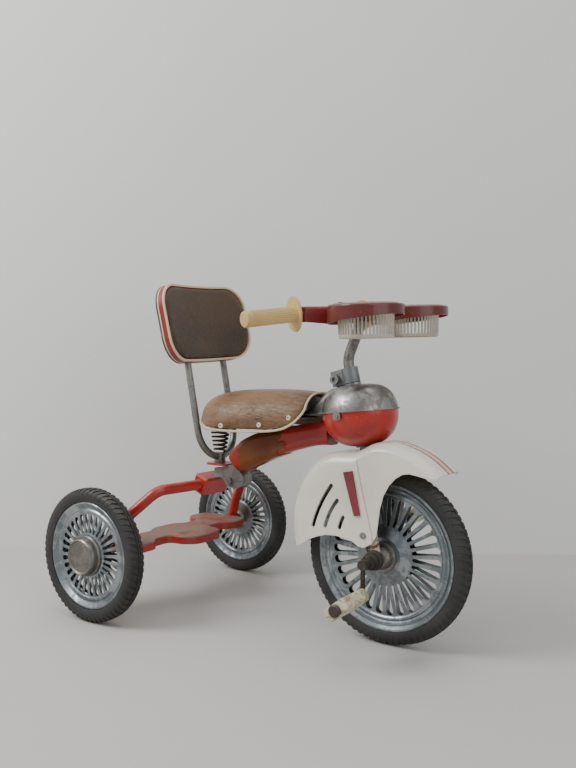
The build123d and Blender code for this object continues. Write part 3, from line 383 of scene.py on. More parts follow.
    @classmethod
    def hide_grain(cls) -> bpy.types.NodeTree:
        """Pebbled vinyl grain with long weathered cracks.

        Returns:
            The group, with Pebble, Streak and Crack outputs.
        """
        parts = cls.start("hide_grain", {"Scale": 700.0, "Stretch": 9.0},
                          ("Pebble", "Streak", "Crack"))
        if parts:
            bench, given, result = parts
            cells = bench.add("ShaderNodeTexVoronoi", feature="DISTANCE_TO_EDGE")
            bench.feed(cells.inputs["Vector"], bench.place())
            bench.feed(cells.inputs["Scale"], given["Scale"])
            bench.feed(result["Pebble"], bench.spread(cells.outputs["Distance"], 0.0, 0.25))
            pull = bench.add("ShaderNodeCombineXYZ")
            bench.feed(pull.inputs[0], 1.0)
            bench.feed(pull.inputs[1], given["Stretch"])
            bench.feed(pull.inputs[2], given["Stretch"])
            drawn = bench.add("ShaderNodeVectorMath", operation="MULTIPLY")
            bench.feed(drawn.inputs[0], bench.place())
            bench.feed(drawn.inputs[1], pull.outputs[0])
            streak = bench.cloud(drawn.outputs[0], 26.0, 9.0, 0.68, 1.3)
            bench.feed(result["Streak"], streak)
            crease = bench.cloud(drawn.outputs[0], 60.0, 6.0, 0.6, 0.8)
            centre = bench.math("ABSOLUTE", bench.math("SUBTRACT", crease, 0.5))
            bench.feed(result["Crack"], bench.spread(centre, 0.0, 0.018, 1.0, 0.0))
        return cls.made["hide_grain"]


# ------------------------------------------------------------------ finishes
@dataclass(frozen=True)
class Finish:
    """A surface finish: its name and its plain colour and gloss."""

    name: str
    base: Colour = (0.5, 0.5, 0.5)
    rough: float = 0.5
    seed: float = 0.0

    def make(self) -> bpy.types.Material:
        """Makes the material, or gives it back if it exists.

        Returns:
            The material.
        """
        if self.name in Workshop.mixed:
            return Workshop.mixed[self.name]
        material = bpy.data.materials.new("tricycle_" + self.name)
        Workshop.mixed[self.name] = material
        material.use_nodes = True
        material.diffuse_color = (*self.base, 1.0)
        bench = NodeBench(material.node_tree)
        shader = material.node_tree.nodes["Principled BSDF"]
        self.fill(bench, shader)
        return material

    def fill(self, bench: NodeBench, shader: bpy.types.Node) -> None:
        """Wires the finish into the shader.

        Args:
            bench: Bench on the material's tree.
            shader: The material's Principled BSDF.
        """
        raise NotImplementedError

    @staticmethod
    def raise_surface(bench: NodeBench, shader: bpy.types.Node, height: object,
                      depth: float, strength: float = 1.0) -> None:
        """Feeds a height through a bump node.

        Args:
            bench: Bench on the material's tree.
            shader: The shader that gets the normal.
            height: The height, 0 to 1.
            depth: What a height of 1 stands for, in metres.
            strength: Weight of the bump.
        """
        bump = bench.add("ShaderNodeBump")
        bench.feed(bump.inputs["Strength"], strength)
        bench.feed(bump.inputs["Distance"], depth)
        bench.feed(bump.inputs["Height"], height)
        bench.feed(shader.inputs["Normal"], bump.outputs[0])


@dataclass(frozen=True)
class Enamel(Finish):
    """Old stoved enamel on pressed steel."""

    deep: Colour = (0.3, 0.02, 0.02)
    bare: Colour = (0.16, 0.10, 0.08)
    chips: float = 0.18
    edge: float = 0.8
    dust: float = 0.25
    dust_colour: Colour = (0.30, 0.27, 0.22)
    coat: float = 0.35
    # Painted shade: darkens the front part of the finish.
    painted_front_shade: bool = False

    def fill(self, bench: NodeBench, shader: bpy.types.Node) -> None:
        """Wires paint, chips, edge wear, scratches and dust."""
        worn = bench.group(Workshop.patches(), Scale=24.0, Amount=self.chips, Seed=self.seed)
        edge = bench.group(Workshop.edges(), Amount=self.edge)
        line = bench.group(Workshop.scratches(), Density=0.45)
        dust = bench.group(Workshop.dust(), Amount=self.dust, Scale=34.0)
        body = bench.mix(worn.outputs["Tone"], self.base, self.deep)
        body = self.pattern(bench, body)
        scuffed = bench.mix(bench.math("MULTIPLY", line.outputs["Line"], 0.35), body,
                            tuple(min(1.0, 0.25 + 0.75 * level) for level in self.base))
        chip = bench.math("MAXIMUM", worn.outputs["Patch"], edge.outputs["Edge"], clamp=True)
        colour = bench.mix(chip, scuffed, self.bare)
        colour = bench.mix(dust.outputs["Dust"], colour, self.dust_colour)
        bench.feed(shader.inputs["Base Color"], colour)
        rough = bench.math("ADD", self.rough, bench.math("MULTIPLY", chip, 0.35))
        rough = bench.math("ADD", rough, bench.math("MULTIPLY", dust.outputs["Dust"], 0.4))
        rough = bench.math("ADD", rough, bench.math("MULTIPLY", worn.outputs["Tone"], 0.08),
                           clamp=True)
        bench.feed(shader.inputs["Roughness"], rough)
        whole = bench.math("SUBTRACT", 1.0, chip, clamp=True)
        bench.feed(shader.inputs["Coat Weight"], bench.math("MULTIPLY", whole, self.coat))
        shader.inputs["Coat Roughness"].default_value = 0.12
        height = bench.math("ADD", bench.math("MULTIPLY", worn.outputs["Grain"], 0.12), whole)
        self.raise_surface(bench, shader, height, 0.00018, 0.8)

    def pattern(self, bench: NodeBench, body: object) -> object:
        """Colour with painted shade darkening its front part, where the finish asks for it.

        Args:
            bench: Bench on the material's tree.
            body: The plain paint.

        Returns:
            The paint, with its painted shade if it has one.
        """
        if not self.painted_front_shade:
            return body
        # Painted shade: past x = 0.15 m the paint is darkened towards a dark red-brown.
        ahead = bench.axis(bench.place(), 0)
        front_shade = bench.spread(ahead, 0.125, 0.175)
        return bench.mix(bench.math("MULTIPLY", front_shade, 0.72), body, paint(62, 26, 24))


@dataclass(frozen=True)
class StripedEnamel(Enamel):
    """Cream enamel with two painted stripes along the crown."""

    stripe: Colour = (0.4, 0.05, 0.04)
    stripe_at: float = 0.0085
    stripe_half: float = 0.0032

    def pattern(self, bench: NodeBench, body: object) -> object:
        """Stripes at equal distances from the middle plane."""
        where = bench.place()
        wobble = bench.math("MULTIPLY", bench.math(
            "SUBTRACT", bench.cloud(bench.place(), 60.0, 4.0), 0.5), 0.0012)
        across = bench.math("ADD", bench.math("ABSOLUTE", bench.axis(where, 1)), wobble)
        off = bench.math("ABSOLUTE", bench.math("SUBTRACT", across, self.stripe_at))
        line = bench.spread(off, self.stripe_half - 0.0003, self.stripe_half + 0.0002, 1.0, 0.0)
        ahead = bench.spread(bench.axis(where, 0), 0.150, 0.152)
        line = bench.math("MULTIPLY", line, ahead)
        worn = bench.spread(bench.cloud(bench.place(), 120.0, 7.0, 0.7), 0.36, 0.44)
        middle = bench.spread(across, self.stripe_at - 0.002, self.stripe_at - 0.003)
        faded = bench.mix(bench.math("MULTIPLY", middle, ahead), body, paint(226, 176, 150))
        return bench.mix(bench.math("MULTIPLY", line, worn), faded, self.stripe)


@dataclass(frozen=True)
class Metal(Finish):
    """Bare or plated steel, with tarnish, rust and brushing."""

    dark: Colour = (0.1, 0.1, 0.1)
    tarnish: float = 0.4
    rust: float = 0.15
    brush: float = 0.3
    rust_colour: Colour = (0.13, 0.055, 0.025)
    metallic: float = 1.0

    def fill(self, bench: NodeBench, shader: bpy.types.Node) -> None:
        """Wires tarnish, rust, brushing and scratches."""
        worn = bench.group(Workshop.patches(), Scale=38.0, Amount=self.tarnish, Seed=self.seed)
        rust = bench.group(Workshop.rust(), Scale=110.0, Amount=self.rust)
        line = bench.group(Workshop.scratches(), Density=self.brush)
        edge = bench.group(Workshop.edges(), Amount=0.5)
        body = bench.mix(bench.math("MULTIPLY", worn.outputs["Tone"], self.tarnish),
                         self.base, self.dark)
        body = bench.mix(bench.math("MULTIPLY", worn.outputs["Patch"], 0.6), body, self.dark)
        light = tuple(min(1.0, level * 1.35) for level in self.base)
        body = bench.mix(bench.math("MULTIPLY", edge.outputs["Edge"], 0.7), body, light)
        body = bench.mix(bench.math("MULTIPLY", line.outputs["Line"], 0.4), body, light)
        body = bench.mix(bench.math("MULTIPLY", rust.outputs["Bloom"], 0.55), body,
                         self.rust_colour)
        colour = bench.mix(rust.outputs["Spot"], body, self.rust_colour)
        bench.feed(shader.inputs["Base Color"], colour)
        clean = bench.math("SUBTRACT", 1.0, rust.outputs["Spot"], clamp=True)
        bench.feed(shader.inputs["Metallic"], bench.math("MULTIPLY", clean, self.metallic))
        rough = bench.math("ADD", self.rough, bench.math("MULTIPLY", rust.outputs["Bloom"], 0.3))
        rough = bench.math("ADD", rough, bench.math("MULTIPLY", worn.outputs["Tone"], 0.12))
        bench.feed(shader.inputs["Roughness"],
                   bench.math("ADD", rough, bench.math("MULTIPLY", worn.outputs["Patch"], 0.15),
                              clamp=True))
        height = bench.math("ADD", bench.math("MULTIPLY", worn.outputs["Grain"], 0.35),
                            bench.math("MULTIPLY", rust.outputs["Spot"], 0.6))
        self.raise_surface(bench, shader, height, 0.00014, 0.7)


@dataclass(frozen=True)
class Hide(Finish):
    """Old printed vinyl with streaks, cracks and rubbed places."""

    deep: Colour = (0.05, 0.03, 0.02)
    light: Colour = (0.3, 0.2, 0.12)
    cracks: float = 0.6

    def fill(self, bench: NodeBench, shader: bpy.types.Node) -> None:
        """Wires grain, streaks, cracks and rubbed patches."""
        hide = bench.group(Workshop.hide_grain(), Scale=620.0)
        worn = bench.group(Workshop.patches(), Scale=26.0, Amount=0.25, Seed=self.seed)
        streak = bench.spread(hide.outputs["Streak"], 0.34, 0.66)
        body = bench.mix(streak, self.deep, self.base)
        rubbed = bench.math("MULTIPLY", worn.outputs["Tone"], 0.55)
        body = bench.mix(rubbed, body, self.light)
        crack = bench.math("MULTIPLY", hide.outputs["Crack"], self.cracks)
        colour = bench.mix(crack, body, self.deep)
        colour = bench.mix(bench.math("MULTIPLY", worn.outputs["Patch"], 0.55), colour, self.deep)
        bench.feed(shader.inputs["Base Color"], colour)
        rough = bench.math("ADD", self.rough, bench.math("MULTIPLY", crack, 0.25))
        bench.feed(shader.inputs["Roughness"],
                   bench.math("ADD", rough, bench.math("MULTIPLY", streak, -0.1), clamp=True))
        height = bench.math("SUBTRACT", bench.math("MULTIPLY", hide.outputs["Pebble"], 0.3),
                            crack)
        height = bench.math("ADD", height, bench.math("MULTIPLY", hide.outputs["Streak"], 0.5))
        self.raise_surface(bench, shader, height, 0.00025, 0.8)


@dataclass(frozen=True)
class Moulded(Finish):
    """Moulded plastic with yellowing, dirt in random patches and scuffs."""

    stain: Colour = (0.4, 0.3, 0.15)
    dirt: float = 0.4
    coat: float = 0.1

    def fill(self, bench: NodeBench, shader: bpy.types.Node) -> None:
        """Wires yellowing, scuffs and dirt."""
        worn = bench.group(Workshop.patches(), Scale=45.0, Amount=self.dirt, Seed=self.seed)
        line = bench.group(Workshop.scratches(), Density=0.35)
        body = bench.mix(bench.math("MULTIPLY", worn.outputs["Tone"], 0.5), self.base, self.stain)
        body = bench.mix(bench.math("MULTIPLY", line.outputs["Line"], 0.25), body,
                         tuple(level * 0.5 for level in self.base))
        colour = bench.mix(bench.math("MULTIPLY", worn.outputs["Patch"], 0.6), body,
                           tuple(level * 0.35 for level in self.stain))
        bench.feed(shader.inputs["Base Color"], colour)
        bench.feed(shader.inputs["Roughness"], bench.math(
            "ADD", self.rough, bench.math("MULTIPLY", worn.outputs["Tone"], 0.15), clamp=True))
        shader.inputs["Coat Weight"].default_value = self.coat
        self.raise_surface(bench, shader, worn.outputs["Grain"], 0.00008, 0.6)


@dataclass(frozen=True)
class Rubber(Finish):
    """Perished black rubber, greyer where it is dusty."""

    dusty: Colour = (0.08, 0.075, 0.07)

    def fill(self, bench: NodeBench, shader: bpy.types.Node) -> None:
        """Wires grey bloom, dust and a fine cracked grain."""
        worn = bench.group(Workshop.patches(), Scale=30.0, Amount=0.3, Seed=self.seed)
        dust = bench.group(Workshop.dust(), Amount=0.35, Scale=60.0)
        hide = bench.group(Workshop.hide_grain(), Scale=900.0, Stretch=2.0)
        body = bench.mix(bench.math("MULTIPLY", worn.outputs["Tone"], 0.6), self.base, self.dusty)
        body = bench.mix(dust.outputs["Dust"], body, paint(120, 112, 100))
        bench.feed(shader.inputs["Base Color"], body)
        bench.feed(shader.inputs["Roughness"], bench.math(
            "ADD", self.rough, bench.math("MULTIPLY", worn.outputs["Tone"], 0.18), clamp=True))
        height = bench.math("SUBTRACT", bench.math("MULTIPLY", hide.outputs["Pebble"], 0.4),
                            hide.outputs["Crack"])
        self.raise_surface(bench, shader, height, 0.00012, 0.7)


@dataclass(frozen=True)
class Clear(Finish):
    """Clear plastic gone yellow, hazed and scuffed."""

    see_through: float = 0.55
    tint: Colour = (0.6, 0.5, 0.3)

    def fill(self, bench: NodeBench, shader: bpy.types.Node) -> None:
        """Wires haze, scuffs and a partly open surface."""
        worn = bench.group(Workshop.patches(), Scale=40.0, Amount=0.35, Seed=self.seed)
        line = bench.group(Workshop.scratches(), Density=0.7)
        haze = bench.math("MAXIMUM", bench.math("MULTIPLY", worn.outputs["Patch"], 0.5),
                          bench.math("MULTIPLY", line.outputs["Line"], 0.6))
        bench.feed(shader.inputs["Base Color"],
                   bench.mix(worn.outputs["Tone"], self.base, self.tint))
        bench.feed(shader.inputs["Roughness"],
                   bench.math("ADD", self.rough, bench.math("MULTIPLY", haze, 0.4), clamp=True))
        gaze = bench.add("ShaderNodeLayerWeight")
        bench.feed(gaze.inputs["Blend"], 0.35)
        solid = bench.math("ADD", 1.0 - self.see_through,
                           bench.math("MULTIPLY", gaze.outputs["Facing"], 0.45))
        bench.feed(shader.inputs["Alpha"], bench.math(
            "ADD", solid, bench.math("MULTIPLY", haze, 0.3), clamp=True))
        self.raise_surface(bench, shader, worn.outputs["Grain"], 0.0001, 0.5)


class Shade(Enum):
    """Every finish on the tricycle, by what it covers."""

    RED = Enamel("red_enamel", paint(180, 34, 18), 0.30, 0.0, deep=paint(146, 24, 13),
                 bare=paint(92, 52, 40), chips=0.16)
    # The handlebar's front part is darkened with painted shade.
    BAR = Enamel("bar_enamel", paint(158, 32, 24), 0.34, 3.0, deep=paint(118, 24, 20),
                 bare=paint(58, 34, 28), chips=0.28, painted_front_shade=True)
    STEP = Enamel("step_enamel", paint(160, 42, 28), 0.42, 5.0, deep=paint(128, 34, 24),
                  bare=paint(98, 84, 70), chips=0.36, dust=1.4,
                  dust_colour=paint(112, 100, 84), coat=0.15)
    CREAM = StripedEnamel("cream_enamel", paint(226, 221, 208), 0.26, 7.0,
                          deep=paint(208, 202, 186), bare=paint(120, 96, 74), chips=0.06,
                          edge=0.35, dust=0.12, stripe=paint(122, 40, 30), coat=0.45)
    FORK = Enamel("fork_enamel", paint(196, 188, 172), 0.42, 9.0, deep=paint(168, 156, 138),
                  bare=paint(84, 52, 34), chips=0.62, edge=1.0, dust=0.3, coat=0.1)
    CHROME = Metal("aged_chrome", paint(176, 174, 170), 0.30, 0.0, dark=paint(112, 106, 100),
                   tarnish=0.60, rust=0.06, brush=0.45)
    ZINC = Metal("zinc_disc", paint(166, 172, 174), 0.28, 2.0, dark=paint(104, 112, 116),
                 tarnish=0.60, rust=0.10, brush=0.35)
    CAP = Metal("pitted_cap", paint(160, 156, 148), 0.36, 4.0, dark=paint(104, 102, 98),
                tarnish=0.60, rust=0.08, brush=0.5)
    STEEL = Metal("grey_steel", paint(146, 144, 140), 0.38, 6.0, dark=paint(96, 92, 88),
                  tarnish=0.5, rust=0.10, brush=0.5, metallic=0.8)
    COLLAR = Metal("dull_collar", paint(136, 140, 140), 0.46, 8.0, dark=paint(96, 98, 98),
                   tarnish=0.5, rust=0.16, brush=0.3, metallic=0.7)
    RUSTY = Metal("rusty_steel", paint(112, 106, 100), 0.50, 10.0, dark=paint(60, 54, 50),
                  tarnish=0.7, rust=0.24, brush=0.3, metallic=0.8)
    SPRING = Metal("spring_steel", paint(92, 86, 82), 0.42, 11.0, dark=paint(44, 38, 36),
                   tarnish=0.7, rust=0.4, brush=0.3)
    SEAT = Hide("saddle_vinyl", paint(128, 90, 56), 0.42, 0.0, deep=paint(58, 36, 22),
                light=paint(156, 122, 86), cracks=0.7)
    BACK = Hide("backrest_vinyl", paint(74, 54, 34), 0.42, 4.0, deep=paint(44, 32, 22),
                light=paint(92, 70, 46), cracks=0.25)
    BAND = Moulded("red_band", paint(142, 34, 34), 0.40, 0.0, stain=paint(110, 26, 24), dirt=0.3)
    PIPING = Moulded("pale_piping", paint(214, 198, 164), 0.5, 2.0, stain=paint(186, 160, 118),
                     dirt=0.3)
    SHELL = Enamel("back_shell_paint", paint(72, 76, 76), 0.42, 12.0, deep=paint(56, 58, 58),
                   bare=paint(110, 104, 98), chips=0.3, coat=0.1)
    RIVET = Moulded("rivet_white", paint(226, 218, 200), 0.35, 5.0, stain=paint(196, 178, 140),
                    dirt=0.2, coat=0.3)
    REFLECTOR = Moulded("red_reflector", paint(122, 18, 34), 0.22, 6.0, stain=paint(84, 14, 24),
                        dirt=0.35, coat=0.5)
    GRIP = Moulded("cream_grip", paint(214, 184, 124), 0.40, 7.0, stain=paint(184, 146, 86),
                   dirt=0.28)
    PEDAL = Moulded("cream_pedal", paint(214, 206, 176), 0.45, 8.0, stain=paint(180, 164, 124),
                    dirt=0.55)
    DARK_CAP = Enamel("dark_pedal_cap", paint(56, 40, 36), 0.4, 13.0, deep=paint(40, 28, 26),
                      bare=paint(98, 82, 72), chips=0.3)
    BASKET = Clear("hazy_basket", paint(206, 202, 190), 0.20, 0.0, see_through=0.58,
                   tint=paint(180, 170, 146))
    FILM = Clear("amber_film", paint(150, 92, 44), 0.2, 3.0, see_through=0.62,
                 tint=paint(116, 62, 30))
    TYRE = Rubber("black_tyre", paint(26, 26, 27), 0.52, 0.0, dusty=paint(62, 60, 58))

    def material(self) -> bpy.types.Material:
        """The finish's material."""
        return self.value.make()

    def cover(self, *nodes: str) -> None:
        """Puts the finish on CAD nodes.

        Args:
            *nodes: Names of the nodes.
        """
        for name in nodes:
            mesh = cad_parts[name].data
            mesh.materials.clear()
            mesh.materials.append(self.material())


# ------------------------------------------------------------------ mesh tools
def new_piece(name: str, mesh: bpy.types.Mesh, shade: Shade, body: str) -> bpy.types.Object:
    """Puts a mesh in the scene as a finished piece of the tricycle.

    Args:
        name: The piece's name.
        mesh: Its mesh, in metres in the row frame.
        shade: Its finish.
        body: The body it moves with.

    Returns:
        The piece.
    """
    mesh.name = name
    piece = bpy.data.objects.new(name, mesh)
    bpy.context.scene.collection.objects.link(piece)
    mesh.materials.clear()
    mesh.materials.append(shade.material())
    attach(piece, body)
    return piece


def mesh_of(shape: bmesh.types.BMesh, name: str, smooth: bool = True) -> bpy.types.Mesh:
    """Mesh from a bmesh, with its normals outward.

    Args:
        shape: The bmesh, which is freed.
        name: The mesh's name.
        smooth: Whether its faces are shaded smooth.

    Returns:
        The mesh.
    """
    bmesh.ops.recalc_face_normals(shape, faces=shape.faces[:])
    for face in shape.faces:
        face.smooth = smooth
    mesh = bpy.data.meshes.new(name)
    shape.to_mesh(mesh)
    shape.free()
    return mesh


def bake_modifiers(piece: bpy.types.Object) -> None:
    """Applies all modifiers of a piece to its mesh.

    Args:
        piece: The piece.
    """
    graph = bpy.context.evaluated_depsgraph_get()
    mesh = bpy.data.meshes.new_from_object(piece.evaluated_get(graph), depsgraph=graph)
    piece.modifiers.clear()
    piece.data = mesh


def smooth_by_angle(mesh: bpy.types.Mesh, degrees: float) -> None:
    """Shades a mesh smooth, with sharp edges over an angle.

    Args:
        mesh: The mesh.
        degrees: Edges that bend more than this stay sharp.
    """
    shape = bmesh.new()
    shape.from_mesh(mesh)
    for face in shape.faces:
        face.smooth = True
    for edge in shape.edges:
        turned = edge.calc_face_angle(0.0) if len(edge.link_faces) == 2 else 3.0
        edge.smooth = turned < math.radians(degrees)
    shape.to_mesh(mesh)
    shape.free()


def smooth_line(points: tuple[tuple[float, float], ...], place: float) -> float:
    """Height of a smooth line through points at one place.

    Args:
        points: Places and heights, in rising order of place.
        place: Where the height is wanted.

    Returns:
        The height.
    """
    if place <= points[0][0]:
        return points[0][1]
    if place >= points[-1][0]:
        return points[-1][1]
    index = max(number for number in range(len(points) - 1) if points[number][0] <= place)

    def slope(number: int) -> float:
        """Slope of the line at one of its points."""
        before, after = points[max(number - 1, 0)], points[min(number + 1, len(points) - 1)]
        return (after[1] - before[1]) / (after[0] - before[0])

    (x_a, z_a), (x_b, z_b) = points[index], points[index + 1]
    run = x_b - x_a
    part = (place - x_a) / run
    return (z_a * (1 + 2 * part) * (1 - part) ** 2 + z_b * part ** 2 * (3 - 2 * part)
            + run * slope(index) * part * (1 - part) ** 2
            - run * slope(index + 1) * part ** 2 * (1 - part))


def closed_tube(shape: bmesh.types.BMesh, path: list[Vector], radius: float, sides: int) -> None:
    """Adds a round tube along a closed path.

    Args:
        shape: The bmesh that gets it.
        path: Its points.
        radius: Its radius.
        sides: Points round it.
    """
    count = len(path)
    rings, across = [], Vector((0, 0, 1))
    for index, point in enumerate(path):
        along = (path[(index + 1) % count] - path[index - 1]).normalized()
        across = (across - along * across.dot(along)).normalized()
        other = along.cross(across)
        rings.append([shape.verts.new(point + radius * (
            across * math.cos(math.tau * step / sides) + other * math.sin(math.tau * step / sides)))
            for step in range(sides)])
    for index, ring in enumerate(rings):
        after = rings[(index + 1) % count]
        shift = 0
        if index == count - 1:
            shift = min(range(sides), key=lambda step: (after[step].co - ring[0].co).length)
        for step in range(sides):
            shape.faces.new((ring[step], ring[(step + 1) % sides],
                             after[(step + 1 + shift) % sides], after[(step + shift) % sides]))


def lathe(shape: bmesh.types.BMesh, seat: Vector, axis: Vector,
          profile: tuple[tuple[float, float], ...], sides: int) -> None:
    """Adds a turned form from its middle outward, closed at its foot.

    Args:
        shape: The bmesh that gets it.
        seat: Its origin.
        axis: Its axis, away from the seat.
        profile: Radii and heights, from the middle of the top to the foot.
        sides: Points round it.
    """
    turn = axis.to_track_quat("Z", "Y")
    top = shape.verts.new(seat + turn @ Vector((0, 0, profile[0][1])))
    rings = [[shape.verts.new(seat + turn @ Vector((
        radius * math.cos(math.tau * step / sides), radius * math.sin(math.tau * step / sides),
        height))) for step in range(sides)] for radius, height in profile[1:]]
    for step in range(sides):
        shape.faces.new((top, rings[0][step], rings[0][(step + 1) % sides]))
    for inner, outer in zip(rings, rings[1:]):
        for step in range(sides):
            after = (step + 1) % sides
            shape.faces.new((inner[step], outer[step], outer[after], inner[after]))


# ------------------------------------------------------------------ tyres
@dataclass
class Tyre:
    """Treaded tyre: sidewalls, a centre rib and two rows of slanted lugs."""

    node: str
    body: str
    profile: tuple[tuple[float, float], ...]
    lugs: int
    tall: float = 0.0017
    share: float = 0.58
    skew: float = 0.42

    def build(self) -> bpy.types.Object:
        """Builds the tyre in place of its plain node.

        Returns:
            The piece.
        """
        low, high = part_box(self.node)
        self.centre = (low + high) / 2
        shape = bmesh.new()
        self.carcass(shape)
        for side in (-1, 1):
            for index in range(self.lugs):
                self.lug(shape, side, index)
        mesh = mesh_of(shape, self.node + "_treaded")
        smooth_by_angle(mesh, 32)
        piece = new_piece(self.node + "_treaded", mesh, Shade.TYRE, self.body)
        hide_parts(self.node)
        return piece

    def spot(self, angle: float, radius: float, across: float) -> Vector:
        """Point on the tyre.

        Args:
            angle: Turn about the axle, in radians.
            radius: Distance from the axle.
            across: Distance from the middle plane.

        Returns:
            The point in the row frame.
        """
        return self.centre + Vector((radius * math.cos(angle), across, radius * math.sin(angle)))

    def carcass(self, shape: bmesh.types.BMesh) -> None:
        """Adds the closed ring that carries the tread.

        Args:
            shape: The bmesh that gets it.
        """
        outer = [(radius - self.tall if index else radius, across)
                 for index, (radius, across) in enumerate(self.profile)]
        rib = [(self.profile[-1][0], 0.0013), (self.profile[-1][0] - self.tall, 0.0016)]
        half = outer[:-1] + [(self.profile[-1][0] - self.tall, 0.0030)] + rib[::-1]
        ring = half + [(radius, -across) for radius, across in reversed(half)]
        bead = self.profile[0][0] - 0.0016
        ring += [(bead, -0.0072), (bead, 0.0072)]
        steps = 192
        rows = []
        for step in range(steps):
            angle = math.tau * step / steps
            rows.append([shape.verts.new(self.spot(angle, radius, across))
                         for radius, across in ring])
        for step in range(steps):
            here, there = rows[step], rows[(step + 1) % steps]
            for index in range(len(ring)):
                after = (index + 1) % len(ring)
                shape.faces.new((here[index], here[after], there[after], there[index]))

    def lug(self, shape: bmesh.types.BMesh, side: int, index: int) -> None:
        """Adds one slanted lug from the rib's edge over the shoulder.

        Args:
            shape: The bmesh that gets it.
            side: -1 or 1 for the right or left row.
            index: Its number round the tyre.
        """
        pitch = math.tau / self.lugs
        start = pitch * (index + (0.5 if side > 0 else 0.0))
        line = [point for point in self.profile if 0.0035 <= point[1]][1:]
        line = line + [(self.profile[-1][0], 0.0034)]
        reach = line[0][1] - line[-1][1]
        top, foot = [], []
        for radius, across in line:
            slant = self.skew * pitch * (across - line[-1][1]) / reach
            wide = self.share * (1.0 - 0.18 * (across - line[-1][1]) / reach)
            for rise, rows in ((0.0, top), (-self.tall - 0.0006, foot)):
                spread = pitch * wide / 2 * (1.0 if rise == 0.0 else 1.14)
                level = radius + rise
                width = across if rise == 0.0 else across - 0.0004
                rows.append([shape.verts.new(self.spot(start + slant + turn, level, side * width))
                             for turn in (-spread, spread)])
        last = len(line) - 1
        for index_on in range(last):
            shape.faces.new((*top[index_on], *reversed(top[index_on + 1])))
            for end in (0, 1):
                shape.faces.new((top[index_on][end], top[index_on + 1][end],
                                 foot[index_on + 1][end], foot[index_on][end]))
            shape.faces.new((*foot[index_on], *reversed(foot[index_on + 1])))
        for at in (0, last):
            shape.faces.new((*top[at], *reversed(foot[at])))


# ------------------------------------------------------------------ soft goods
@dataclass
class SoftPad:
    """Padded cover: its solid is remeshed, inflated as cloth and smoothed."""

    node: str
    body: str
    slot: str
    shade: Shade
    voxel: float = 0.004
    pressure: float = 4.0
    cap: float = 0.0025
    fill: float = 0.9
    wall: float = 0.0
    stiffness: float = 20.0
    last_frame: int = 12
    smoothing: int = 6

    def start(self) -> bpy.types.Mesh:
        """Shape that the padding starts from: a copy of the node's own."""
        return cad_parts[self.node].data.copy()

    def build(self) -> bpy.types.Object:
        """Builds the pad in place of its plain node.

        Returns:
            The piece.
        """
        piece = new_piece(self.node + "_soft", self.start(), self.shade, self.body)
        if self.wall:
            thick = piece.modifiers.new("wall", "SOLIDIFY")
            thick.thickness = self.wall
            thick.offset = -1.0
            bake_modifiers(piece)
        remesh = piece.modifiers.new("even", "REMESH")
        remesh.mode = "VOXEL"
        remesh.voxel_size = self.voxel
        bake_modifiers(piece)
        rest = [vertex.co.copy() for vertex in piece.data.vertices]
        self.inflate(piece)
        self.hold(piece, rest)
        self.relax(piece)
        rounder = piece.modifiers.new("round", "SUBSURF")
        rounder.levels = 1
        rounder.render_levels = 1
        bake_modifiers(piece)
        self.stay_inside(piece)
        for face in piece.data.polygons:
            face.use_smooth = True
        piece.data.materials.clear()
        piece.data.materials.append(self.shade.material())
        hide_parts(self.node)
        return piece

    def inflate(self, piece: bpy.types.Object) -> None:
        """Blows the pad up a little as cloth.

        Args:
            piece: The pad.
        """
        cloth = piece.modifiers.new("fill", "CLOTH")
        cloth.settings.use_pressure = True
        cloth.settings.uniform_pressure_force = self.pressure
        cloth.settings.quality = 5
        cloth.settings.tension_stiffness = self.stiffness
        cloth.settings.compression_stiffness = self.stiffness
        cloth.settings.effector_weights.gravity = 0
        cloth.point_cache.frame_start = 1
        cloth.point_cache.frame_end = 20
        scene = bpy.context.scene
        for number in range(1, self.last_frame + 1):
            scene.frame_set(number)
        bake_modifiers(piece)
        scene.frame_set(1)

    def hold(self, piece: bpy.types.Object, rest: list[Vector]) -> None:
        """Limits how far each point has moved.

        Args:
            piece: The pad.
            rest: Its points before it was blown up.
        """
        for vertex, start in zip(piece.data.vertices, rest):
            move = vertex.co - start
            if move.length > self.cap:
                vertex.co = start + move * (self.cap / move.length)

    def relax(self, piece: bpy.types.Object) -> None:
        """Evens out the remeshed steps.

        Args:
            piece: The pad.
        """
        shape = bmesh.new()
        shape.from_mesh(piece.data)
        for _ in range(self.smoothing):
            bmesh.ops.smooth_vert(shape, verts=shape.verts[:], factor=0.5,
                                  use_axis_x=True, use_axis_y=True, use_axis_z=True)
        shape.to_mesh(piece.data)
        shape.free()

    def stay_inside(self, piece: bpy.types.Object) -> None:
        """Keeps the pad in its solid's own box.

        Args:
            piece: The pad.
        """
        low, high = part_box(self.node)
        for vertex in piece.data.vertices:
            for index in range(3):
                vertex.co[index] = min(max(vertex.co[index], low[index] - 0.001),
                                       high[index] + 0.001)


